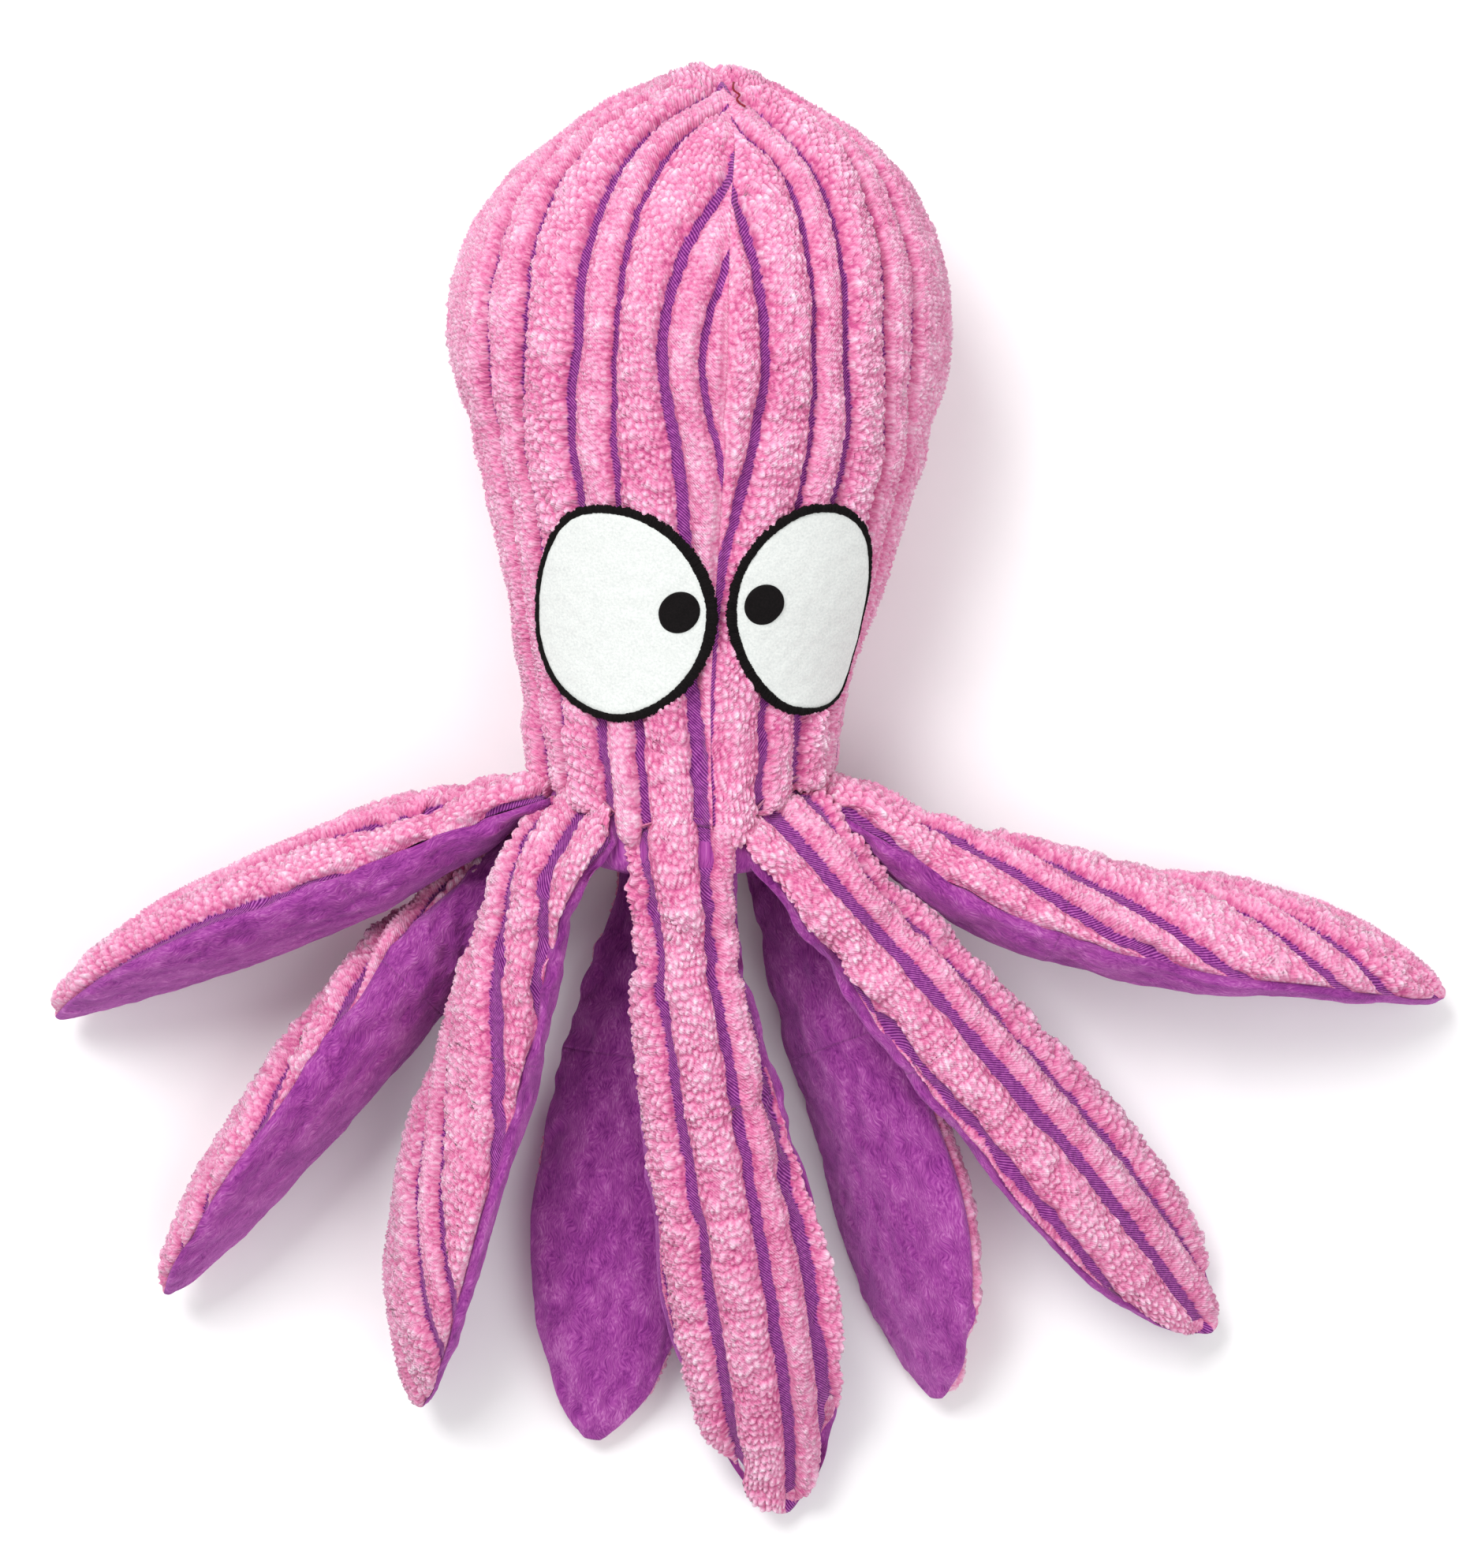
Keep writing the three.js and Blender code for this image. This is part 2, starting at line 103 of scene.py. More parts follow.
def sample(table, at):
    """Smooth curve through the rows of a table. Column 0 is the place, the rest are values."""
    table = np.asarray(table, float)
    place, values = table[:, 0], table[:, 1:]
    low = np.maximum(np.arange(len(place)) - 1, 0)
    high = np.minimum(np.arange(len(place)) + 1, len(place) - 1)
    slope = (values[high] - values[low]) / (place[high] - place[low])[:, None]
    at = np.atleast_1d(np.asarray(at, float))
    row = np.clip(np.searchsorted(place, at, side="right") - 1, 0, len(place) - 2)
    span = (place[row + 1] - place[row])[:, None]
    share = np.clip((at[:, None] - place[row][:, None]) / span, 0, 1)
    square, cube = share ** 2, share ** 3
    return (values[row] * (2 * cube - 3 * square + 1) + values[row + 1] * (3 * square - 2 * cube)
            + slope[row] * span * (cube - 2 * square + share) + slope[row + 1] * span * (cube - square))


def smoothstep(x, low=0.0, high=1.0):
    t = np.clip((x - low) / (high - low), 0, 1)
    return t * t * (3 - 2 * t)


def unit(v):
    return v / np.maximum(np.linalg.norm(v, axis=-1, keepdims=True), 1e-12)


def chance(x, y, seed):
    """A repeatable random share for each whole-number cell."""
    n = x.astype(np.int64).astype(np.uint64) * np.uint64(0x9E3779B185EBCA87)
    n = n ^ (y.astype(np.int64).astype(np.uint64) * np.uint64(0xC2B2AE3D27D4EB4F))
    n ^= np.uint64(seed * 0x165667B1 + 0x27D4EB2F)
    n ^= n >> np.uint64(29)
    n *= np.uint64(0xBF58476D1CE4E5B9)
    n ^= n >> np.uint64(32)
    return (n >> np.uint64(11)).astype(float) / 2.0 ** 53


def noise(x, y, seed):
    """Smooth noise from -1 to 1 with features about one unit wide."""
    cell_x, cell_y = np.floor(x), np.floor(y)
    u, v = smoothstep(x - cell_x), smoothstep(y - cell_y)
    low = chance(cell_x, cell_y, seed) * (1 - u) + chance(cell_x + 1, cell_y, seed) * u
    high = chance(cell_x, cell_y + 1, seed) * (1 - u) + chance(cell_x + 1, cell_y + 1, seed) * u
    return 2 * (low * (1 - v) + high * v) - 1


def tufts(x, y, seed):
    """Rounded lumps one unit apart: their height from 0 to 1."""
    cell_x, cell_y = np.floor(x), np.floor(y)
    first = np.full(x.shape, 9.0)
    second = np.full(x.shape, 9.0)
    for step_x in (-1, 0, 1):
        for step_y in (-1, 0, 1):
            corner_x, corner_y = cell_x + step_x, cell_y + step_y
            far = np.hypot(corner_x + 0.1 + 0.8 * chance(corner_x, corner_y, seed) - x,
                           corner_y + 0.1 + 0.8 * chance(corner_x, corner_y, seed + 1) - y)
            second = np.minimum(second, np.maximum(first, far))
            first = np.minimum(first, far)
    return smoothstep(second - first, 0, 0.6) * (1 - 0.4 * first)


def normals(points):
    """Unit normals of a grid of points, by its two directions."""
    return unit(np.cross(np.gradient(points, axis=1), np.gradient(points, axis=0)))


# ---------------------------------------------------------------- meshes

def make_mesh(name, points, faces, material, fields=None):
    mesh = bpy.data.meshes.new(name)
    mesh.from_pydata(np.asarray(points) * MM, [], faces)
    mesh.shade_smooth()
    for field, values in (fields or {}).items():
        vector = values.ndim == 2
        attribute = mesh.attributes.new(field, "FLOAT_VECTOR" if vector else "FLOAT", "POINT")
        attribute.data.foreach_set("vector" if vector else "value", values.astype(np.float32).ravel())
    mesh.materials.append(material)
    mesh.update()
    obj = bpy.data.objects.new(name, mesh)
    bpy.context.scene.collection.objects.link(obj)
    return obj


def ladder(left, right):
    """Triangles between two rows of point numbers that start and end together."""
    faces = []
    a, b = 0, 0
    last_a, last_b = len(left) - 1, len(right) - 1
    while a < last_a or b < last_b:
        if b == last_b or (a < last_a and (a + 1) * last_b <= (b + 1) * last_a):
            faces.append((left[a], left[a + 1], right[b]))
            a += 1
        else:
            faces.append((left[a], right[b + 1], right[b]))
            b += 1
    return faces


def numbered(points):
    """Number of each point of a grid."""
    return np.arange(points.shape[0] * points.shape[1]).reshape(points.shape[:2])


def round_quads(number):
    """Quads of a grid of point numbers whose rows run round and close on themselves."""
    after = np.roll(number, -1, axis=1)
    quads = np.stack([number[:-1], after[:-1], after[1:], number[1:]], axis=-1)
    return [tuple(face) for face in quads.reshape(-1, 4).tolist()]


def capped_quads(number):
    """The same with one face over each end."""
    return round_quads(number) + [tuple(number[0].tolist()[::-1]), tuple(number[-1].tolist())]


def above_floor(points):
    """Flattens what comes nearer to the floor than 1 mm."""
    low = 0.3 + 0.7 * np.exp(np.minimum(points[..., 2] - 1, 0))
    points[..., 2] = np.where(points[..., 2] < 1, low, points[..., 2])


def shell(name, skin, lining, material, fields, flip=False):
    """Closed piece: a fine skin grid, and a coarse lining that runs back from the skin's
    last column to its first."""
    columns = skin.shape[1]
    points = np.concatenate([skin, lining], axis=1)
    number = numbered(points)
    start, end = number[0], number[-1]
    caps = [face[::-1] for face in ladder(list(start[:columns]), list(start[columns:][::-1]))]
    caps += ladder(list(end[:columns]), list(end[columns:][::-1]))
    faces = round_quads(number) + caps
    if flip:
        faces = [tuple(face[::-1]) for face in faces]
    spread = {}
    for field, values in fields.items():
        last, first = values[:, -1:], values[:, :1]
        share = np.linspace(0, 1, lining.shape[1] + 2)[1:-1]
        share = share.reshape((1, -1) + (1,) * (values.ndim - 2))
        filled = np.concatenate([values, last * (1 - share) + first * share], axis=1)
        spread[field] = filled.reshape((-1,) + values.shape[2:])
    return make_mesh(name, points.reshape(-1, 3), faces, material, spread)


# ---------------------------------------------------------------- materials

def new_material(name, base, roughness, sheen=0.0, sheen_tint=(1, 1, 1)):
    """Material with its shader, and a helper that adds a node and sets its inputs."""
    material = bpy.data.materials.new(name)
    material.use_nodes = True
    tree = material.node_tree
    shader = tree.nodes["Principled BSDF"]
    shader.inputs["Base Color"].default_value = (*base, 1)
    shader.inputs["Roughness"].default_value = roughness
    shader.inputs["Sheen Weight"].default_value = sheen
    shader.inputs["Sheen Roughness"].default_value = 0.45
    shader.inputs["Sheen Tint"].default_value = (*sheen_tint, 1)
    shader.inputs["Specular IOR Level"].default_value = 0.2

    def node(kind, inputs=None, **settings):
        made = tree.nodes.new(kind)
        for key, value in settings.items():
            setattr(made, key, value)
        for key, value in (inputs or {}).items():
            if isinstance(value, bpy.types.NodeSocket):
                tree.links.new(value, made.inputs[key])
            else:
                made.inputs[key].default_value = value
        return made

    return material, shader, tree, node


def linear(red, green, blue):
    """Scene-linear colour from 8-bit screen values."""
    shares = [value / 255 for value in (red, green, blue)]
    return tuple(s / 12.92 if s <= 0.04045 else ((s + 0.055) / 1.055) ** 2.4 for s in shares)


def ramp(node, factor, stops):
    made = node("ShaderNodeValToRGB", {"Fac": factor})
    while len(made.color_ramp.elements) < len(stops):
        made.color_ramp.elements.new(0.5)
    for element, (place, colour) in zip(made.color_ramp.elements, stops):
        element.position = place
        element.color = (*colour, 1)
    return made.outputs["Color"]


def maths(node, kind, first, second=0.0, third=0.0):
    return node("ShaderNodeMath", {0: first, 1: second, 2: third}, operation=kind).outputs[0]


def mix(node, factor, first, second):
    made = node("ShaderNodeMix", data_type="RGBA")
    tree = made.id_data
    for key, value in ((0, factor), (6, first), (7, second)):
        tree.links.new(value, made.inputs[key])
    return made.outputs[2]


def attribute(node, field, output="Fac"):
    return node("ShaderNodeAttribute", attribute_name=field).outputs[output]


def cloud(node, place, scale, detail=2.0, roughness=0.5):
    inputs = {"Vector": place, "Scale": scale, "Detail": detail, "Roughness": roughness}
    return node("ShaderNodeTexNoise", inputs).outputs["Fac"]


def striped_plush():
    """Pink pile over a purple twill ground, told apart by the distance from the stripe's edge. The pink
    carries painted highlight on the tufts and painted shade in the hollows.
    """
    material, shader, tree, node = new_material(
        "striped_plush", linear(232, 155, 186), 0.95, 0.35, linear(255, 215, 232))
    edge, lift = attribute(node, "edge"), attribute(node, "lift")
    rest, cloth = attribute(node, "rest", "Vector"), attribute(node, "cloth", "Vector")
    fibres = cloud(node, rest, 1000, 3.0, 0.6)
    patches = cloud(node, rest, 60, 2.0)
    # The pink is lighter where the pile stands high (lift) and darker where it is low and near the
    # stripes: painted highlight and painted shade. The fibre and patch noise add random tone.
    tone_and_painted_light = maths(node, "ADD", lift, maths(node, "MULTIPLY_ADD", fibres, 1.3, -0.65))
    tone_and_painted_light = maths(node, "ADD", tone_and_painted_light, maths(node, "MULTIPLY_ADD", patches, 0.35, -0.175))
    pink = ramp(node, tone_and_painted_light, [
        (0.0, linear(198, 84, 140)), (0.25, linear(222, 124, 168)), (0.5, linear(232, 156, 192)),
        (0.75, linear(238, 187, 212)), (1.0, linear(248, 222, 236)),
    ])
    twill = node("ShaderNodeTexWave", {"Vector": cloth, "Scale": 850, "Distortion": 0.6, "Detail": 1.0},
                 bands_direction="DIAGONAL").outputs["Fac"]
    threads = cloud(node, cloth, 900, 1.0)
    weave = maths(node, "MULTIPLY_ADD", twill, 0.55, maths(node, "MULTIPLY", threads, 0.5))
    purple = ramp(node, weave, [
        (0.2, linear(84, 16, 92)), (0.55, linear(132, 42, 134)), (0.9, linear(194, 112, 190))])
    ragged = maths(node, "MULTIPLY_ADD", cloud(node, rest, 1100, 1.0), 0.7, -0.35)
    cover = maths(node, "ADD", edge, ragged)
    cover = node("ShaderNodeMapRange", {"Value": cover, "From Min": -0.12, "From Max": 0.12})
    colour = mix(node, cover.outputs[0], purple, pink)
    tree.links.new(colour, shader.inputs["Base Color"])
    relief = maths(node, "MULTIPLY_ADD", fibres, 0.6, maths(node, "MULTIPLY", weave, 0.25))
    bump = node("ShaderNodeBump", {"Height": relief, "Strength": 0.8, "Distance": 0.0009})
    tree.links.new(bump.outputs["Normal"], shader.inputs["Normal"])
    return material


def smooth_plush():
    """Short purple nap, combed along the leg, with painted highlight where the nap stands high and painted
    shade where it is low.
    """
    material, shader, tree, node = new_material(
        "smooth_plush", linear(140, 48, 140), 0.8, 0.6, linear(226, 150, 226))
    lift, cloth = attribute(node, "lift"), attribute(node, "cloth", "Vector")
    bent = node("ShaderNodeTexNoise", {"Vector": cloth, "Scale": 160, "Detail": 1.0}).outputs["Color"]
    swirl = node("ShaderNodeVectorMath", {0: bent, 1: (0.5, 0.5, 0.5)}, operation="SUBTRACT").outputs[0]
    swirl = node("ShaderNodeVectorMath", {0: swirl, "Scale": 0.006}, operation="SCALE").outputs[0]
    place = node("ShaderNodeVectorMath", {0: cloth, 1: swirl}, operation="ADD").outputs[0]
    combed = node("ShaderNodeMapping", {"Vector": place, "Scale": (3200, 700, 1)}).outputs["Vector"]
    streaks = cloud(node, combed, 1, 3.0, 0.65)
    patches = cloud(node, cloth, 55, 1.0)
    tone_and_painted_light = maths(node, "MULTIPLY_ADD", streaks, 1.7, -0.35)
    tone_and_painted_light = maths(node, "ADD", tone_and_painted_light, maths(node, "MULTIPLY_ADD", patches, 0.3, -0.15))
    # The nap's lift lightens the purple where the nap stands high and darkens it where it is low: painted
    # highlight and painted shade. Streaks and patches are random tone.
    tone_and_painted_light = maths(node, "ADD", tone_and_painted_light, maths(node, "MULTIPLY_ADD", lift, 0.5, -0.25))
    purple = ramp(node, tone_and_painted_light, [
        (0.1, linear(112, 26, 114)), (0.4, linear(148, 54, 144)), (0.65, linear(170, 78, 162)),
        (0.95, linear(200, 122, 190)),
    ])
    tree.links.new(purple, shader.inputs["Base Color"])
    bump = node("ShaderNodeBump", {"Height": streaks, "Strength": 0.7, "Distance": 0.0006})
    tree.links.new(bump.outputs["Normal"], shader.inputs["Normal"])
    return material


def plain(name, low, high, roughness, scale, sheen=0.0, strength=0.4):
    """Two-tone procedural surface with matching relief, on the piece's own coordinates."""
    material, shader, tree, node = new_material(name, high, roughness, sheen)
    place = node("ShaderNodeTexCoord").outputs["Object"]
    grain = cloud(node, place, scale, 4.0, 0.6)
    tree.links.new(ramp(node, grain, [(0.3, low), (0.62, high)]), shader.inputs["Base Color"])
    bump = node("ShaderNodeBump", {"Height": grain, "Strength": strength, "Distance": 0.0003})
    tree.links.new(bump.outputs["Normal"], shader.inputs["Normal"])
    return material


STRIPED = striped_plush()
SMOOTH = smooth_plush()
FELT = plain("white_felt", linear(208, 212, 210), linear(226, 229, 226), 0.95, 1800)
STITCH = plain("black_stitching", linear(2, 1, 1), linear(16, 10, 12), 0.9, 2500)
THREAD = plain("red_thread", linear(96, 16, 30), linear(150, 36, 52), 0.7, 3000)
FIBRE = plain("fibre_fill", linear(222, 218, 210), linear(246, 244, 238), 1.0, 500, sheen=0.3)
FILM = plain("crinkle_film", linear(196, 200, 206), linear(226, 230, 236), 0.25, 300)
PLASTIC = plain("squeaker_plastic", linear(226, 222, 208), linear(238, 236, 226), 0.45, 250, strength=0.15)


# ---------------------------------------------------------------- cloth

def stripe_edges(place, stripes):
    """Distance into the rib from the nearest stripe's edge, and whether the rib is a wide one.
    stripes are (middle, width) pairs in order."""
    middles = np.array([middle for middle, _ in stripes], float)
    halves = np.array([width for _, width in stripes], float) / 2
    after = np.clip(np.searchsorted(middles, place), 1, len(middles) - 1)
    left, right = place - middles[after - 1], middles[after] - place
    edge = np.minimum(left - halves[after - 1], right - halves[after])
    edge = np.where(place < middles[0], middles[0] - place - halves[0], edge)
    edge = np.where(place > middles[-1], place - middles[-1] - halves[-1], edge)
    wide = (middles[after] - middles[after - 1]) > WIDE_RIB
    return edge, wide.astype(float)


def striped_relief(across, along, stripes, from_seam, seed, wider, press=0, bare=1,
                   seam_height=SEAM_HEIGHT):
    """Height of the striped cloth over the CAD surface, and its fields for the material, whose lift paints
    highlight on the tufts and shade in the hollows.
    wider moves the stripes' edges outwards, press flattens the pile, bare=0 grows pile over
    the stripes, and the cloth meets its neighbour at seam_height."""
    waver = 0.4 * noise(across / 7, along / 6, seed) + 0.3 * noise(across / 1.5, along / 1.2, seed + 1)
    edge, wide = stripe_edges(across + waver, stripes)
    edge = edge - wider
    edge = edge + (1 - bare) * 3
    pile = PILE["narrow"] + (PILE["wide"] - PILE["narrow"]) * wide
    round_over = np.clip(edge / (3.6 + 1.2 * wide), 0, 1)
    rib = np.sqrt(np.clip(1 - (1 - round_over) ** 2, 0, 1))
    swirl = 0.9 * noise(across / 3.4, along / 4.2, seed + 8)
    shaggy = tufts((across + swirl) / 1.3, (along + swirl) / 2.2, seed + 2)
    rows = tufts(across / 2.2, along / 0.8, seed + 4)
    clumps = noise(across / 3.2, along / 2.8, seed + 6)
    rolls = noise(across / 9, along / 13, seed + 7)
    tuft = wide * (shaggy - 0.5) + (1 - wide) * 0.75 * (rows - 0.5)
    inside = smoothstep(edge, -0.1, 0.9)
    lumps = 1.15 * tuft + clumps * (0.2 + 0.35 * wide) + 0.45 * rolls
    pull = smoothstep(from_seam, 0, SEAM_REACH)
    height = GROUND + pile * rib + lumps * inside
    height = height * pull + seam_height * (1 - pull)
    height = height * (1 - press) + press * np.minimum(height, -0.6)
    # lift: how high the pile stands, lower towards the stripes; the material paints the pink lighter by
    # it, as painted highlight and painted shade.
    lift = np.clip(0.46 + 0.5 * tuft + 0.16 * clumps + 0.3 * (rib - 0.8), 0, 1)
    return height, {"edge": edge, "lift": lift}


def smooth_relief(across, along, from_seam, seed):
    nap = noise(across / 0.9, along / 2.4, seed) * 0.14 + noise(across / 2.2, along / 4.5, seed + 1) * 0.22
    lumps = noise(across / 11, along / 16, seed + 2) * 0.6
    pull = smoothstep(from_seam, 0, 2.4)
    height = -0.5 + (nap + lumps) * pull - 0.9 * (1 - pull)
    # lift: how high the nap stands; the material paints the purple lighter by it, as painted highlight and
    # painted shade.
    lift = np.clip(0.5 + nap * 1.6, 0, 1)
    return height, {"lift": lift}


def cloth_fields(points, across, along, fields):
    """Adds the texture coordinates in metres: the place at rest, and the place on the cloth."""
    return {
        **fields,
        "rest": points * MM,
        "cloth": np.stack([across, along, np.zeros_like(across)], axis=-1) * MM,
    }


# ---------------------------------------------------------------- cloth simulation

def swell(rings, fixed, seams):
    """Cloth simulation of a closed bag, under pressure from its filling. The cloth is cut a
    little larger than the bag and the seams draw it in, so that it puckers beside them.
    rings are the bag's points in rows, fixed are the rows held still and seams the columns
    sewn. Returns how far each point moves. The shape is already full, so only the puckers
    are kept, and the bag's slow changes along its length are taken out."""
    rows = len(rings)
    number = numbered(rings)
    faces = capped_quads(number)
    across, down = np.gradient(rings, axis=1), np.gradient(rings, axis=0)
    inward = np.sum(np.cross(across, down) * (rings - rings.mean(axis=1, keepdims=True))) < 0
    if inward:
        faces = [face[::-1] for face in faces]
    bag = make_mesh("bag", rings.reshape(-1, 3), faces, STRIPED)
    held = bag.vertex_groups.new(name="held")
    held.add(number.ravel().tolist(), SWELL["hold"], "REPLACE")
    held.add(number[fixed].ravel().tolist(), 1.0, "REPLACE")
    bag.vertex_groups.new(name="seams").add(number[:, seams].ravel().tolist(), 1.0, "REPLACE")
    settings = bag.modifiers.new("cloth", "CLOTH").settings
    settings.quality = 6
    settings.mass = SWELL["mass"]
    settings.tension_stiffness = settings.compression_stiffness = SWELL["stiffness"]
    settings.shear_stiffness = SWELL["stiffness"] / 3
    settings.bending_stiffness = SWELL["bending"]
    settings.use_pressure = True
    settings.uniform_pressure_force = SWELL["pressure"]
    settings.effector_weights.gravity = 0
    settings.vertex_group_mass = "held"
    settings.vertex_group_shrink = "seams"
    settings.shrink_min = -SWELL["growth"]
    settings.shrink_max = SWELL["seam"]
    scene = bpy.context.scene
    for step in range(1, SWELL["frames"] + 1):
        scene.frame_set(step)
    done = bag.evaluated_get(bpy.context.evaluated_depsgraph_get()).data
    placed = np.empty(rings.size)
    done.vertices.foreach_get("co", placed)
    moved = placed.reshape(rings.shape) / MM - rings
    scene.frame_set(1)
    bpy.data.meshes.remove(bag.data)
    steps = np.arange(-SWELL["smooth"], SWELL["smooth"] + 1)[:, None]
    nearby = np.clip(np.arange(rows) + steps, 0, rows - 1)
    moved -= moved[nearby].mean(axis=0)
    far = np.linalg.norm(moved, axis=-1, keepdims=True)
    return moved * np.minimum(1, SWELL["cap"] / np.maximum(far, 1e-9))


def lookup(field, row, column):
    """Smooth value of a field of vectors at fractional rows and columns, by cubic weights.
    The columns run round."""
    def weights(t):
        return (
            t * (-0.5 + t - 0.5 * t ** 2), 1 + t ** 2 * (1.5 * t - 2.5),
            t * (0.5 + 2 * t - 1.5 * t ** 2), t ** 2 * (0.5 * t - 0.5))

    rows, columns = field.shape[:2]
    first_row, first_column = np.floor(row).astype(int), np.floor(column).astype(int)
    total = np.zeros(row.shape + (3,))
    for i, row_weight in enumerate(weights(row - first_row)):
        for j, column_weight in enumerate(weights(column - first_column)):
            near = field[np.clip(first_row + i - 1, 0, rows - 1), (first_column + j - 1) % columns]
            total += (row_weight * column_weight)[..., None] * near
    return total


# ---------------------------------------------------------------- head

def head_bag():
    """The head's puckers, by rows every HEAD_STEP mm of y from the crown and columns round it.
    Its cloth is drawn tight at the crown, and the felt eyes keep it flat."""
    y = np.arange(CROWN_Y - 1, NECK_Y - 1, -HEAD_STEP)
    half_width, half_depth, x, z = sample(HEAD, y).T[..., None]
    turn = np.linspace(0, 2 * math.pi, HEAD_COLUMNS, endpoint=False)[None, :]
    rise = NECK_RISE * np.sin(turn) ** 2 * smoothstep(-y[:, None], 50, -NECK_Y)
    rings = np.stack([
        x + half_width * np.sin(turn), y[:, None] + rise, z + half_depth * np.cos(turn)], axis=-1)
    quarter = HEAD_COLUMNS // 4
    keep = smoothstep(y, -40, -25) * (1 - smoothstep(y, 38, 50)) + smoothstep(-y, 88, 96)
    puckers = swell(rings, slice(len(y) - 2, len(y)), [1, quarter, 3 * quarter])
    return puckers * (0.4 * keep)[:, None, None]


def head_swelling(y, turn):
    """How far the swelling moves places on the head, from y and the turn from the top."""
    row = (CROWN_Y - 1 - y) / HEAD_STEP
    return lookup(HEAD_BAG, row + 0 * turn, turn / (2 * math.pi) * HEAD_COLUMNS + 0 * row)


def head_grid(start, end, pitch):
    """Smooth surface of a gore between two turns from the top, each a number or a table by y.
    Returns the points, their distances from the first edge, round from the top and along
    from the crown, their y, and how far each row has rolled in at the neck, in radians."""
    fine = np.linspace(CROWN_Y, NECK_Y, 3000)
    width = sample(HEAD, fine)[:, 0]
    reach = np.concatenate([[0], np.cumsum(np.hypot(np.diff(fine), np.diff(width)))])
    curl = math.radians(150)
    total = reach[-1] + LIP * curl
    rows = int(total / pitch)
    along = np.linspace(0.35, total, rows)
    y = np.interp(along, reach, fine)
    rolled = np.clip(along - reach[-1], 0, None) / LIP
    half_width, half_depth, x, z = sample(HEAD, y).T
    inset = LIP * (1 - np.cos(rolled))
    turn_from, turn_to = (
        sample(edge, y)[:, 0] if isinstance(edge, list) else np.full(rows, float(edge))
        for edge in (start, end))
    mean_radius = 52
    widest = math.radians(abs(np.mean(turn_to) - np.mean(turn_from))) * mean_radius
    columns = int(widest / pitch)
    share = np.linspace(0, 1, columns)
    turn = np.radians(turn_from[:, None] * (1 - share) + turn_to[:, None] * share)
    sine, cosine = np.sin(turn), np.cos(turn)
    degrees = np.degrees(turn) - 360 * (turn > math.pi)
    hang = sample(NECK_EDGE, degrees.ravel())[:, 0].reshape(turn.shape)
    rise = NECK_RISE * sine ** 2 * smoothstep(-y, 50, -NECK_Y)[:, None]
    rise = rise - hang * smoothstep(-y, 84, -NECK_Y)[:, None]
    points = np.stack([
        x[:, None] + (half_width - inset)[:, None] * sine,
        (y - LIP * np.sin(rolled))[:, None] + rise,
        z[:, None] + (half_depth - inset)[:, None] * cosine,
    ], axis=-1)
    points += head_swelling(y[:, None], turn)
    speed = np.hypot(half_width[:, None] * cosine, half_depth[:, None] * sine)
    step = np.abs(np.diff(turn, axis=1)) * (speed[:, 1:] + speed[:, :-1]) / 2
    distance = np.concatenate([np.zeros((rows, 1)), np.cumsum(step, axis=1)], axis=1)
    arcs = np.linspace(0, math.pi, 721)
    arc_speed = np.hypot(half_width[:, None] * np.cos(arcs), half_depth[:, None] * np.sin(arcs))
    arc_reach = np.cumsum(arc_speed, axis=1) * (arcs[1] - arcs[0])
    top = np.stack([
        np.sign(t) * np.interp(np.abs(t), arcs, reach_row) for t, reach_row in zip(turn, arc_reach)])
    return points, distance, top, along, y, rolled


def canonical(count):
    """Middles of the stripes across flat cloth: a narrow rib and a wide rib by turns."""
    return [k // 2 * 23.5 + k % 2 * 10.4 for k in range(count)]


# Stripes on the front gores: y, then the distance of each stripe from the centre-front seam.
# Numbers below zero are stripes that the seam has cut off.
LEFT_STRIPES = [
    (-110, -9.5, 2.5, 15.5, 25, 37, 46), (-94, -9, 3, 16.5, 26.3, 38, 47),
    (-38, -1, 8.9, 24.5, 34, 48, 58), (-25, 2.6, 11.5, 26, 37, 51, 62),
    (-7, 5.5, 14.9, 26.1, 35.5, 50, 62.5), (15, 0, 11, 24, 33.5, 48, 60),
    (33, -9, 1, 19, 28, 43, 53), (44, -14, -4, 12, 20.5, 35, 44),
    (51.5, -24, -13, 0, 11, 24, 33), (57, -36, -25, -11, 0, 13, 20),
]
RIGHT_STRIPES = [
    (-110, -1, 13, 22.5, 33, 42), (-94, -1, 13.1, 22.7, 33, 42), (-64, 0, 15, 24.5, 36, 45),
    (-38, 4, 19, 28, 40, 49), (-25, 6.9, 20.5, 30.5, 42, 51), (-7, 9, 20.7, 28.8, 39.8, 49.5),
    (15, 5.5, 18.8, 27, 38, 48), (33, -2, 13.5, 21.5, 33, 42), (48, -12, 0, 9.5, 24, 31),
    (57, -20, -9, 0, 12, 19),
]


def pattern_place(distance, y, table, middles):
    """Place across the flat cloth's pattern, from the stripes' places on the sewn gore."""
    rows = sample(table, y)
    lead = rows[:, :1] - 40
    tail = rows[:, -1:] + 60
    rows = np.concatenate([lead, rows, tail], axis=1)
    marks = [middles[0] - 40, *middles, middles[-1] + 60]
    return np.stack([np.interp(d, row, marks) for d, row in zip(distance, rows)])


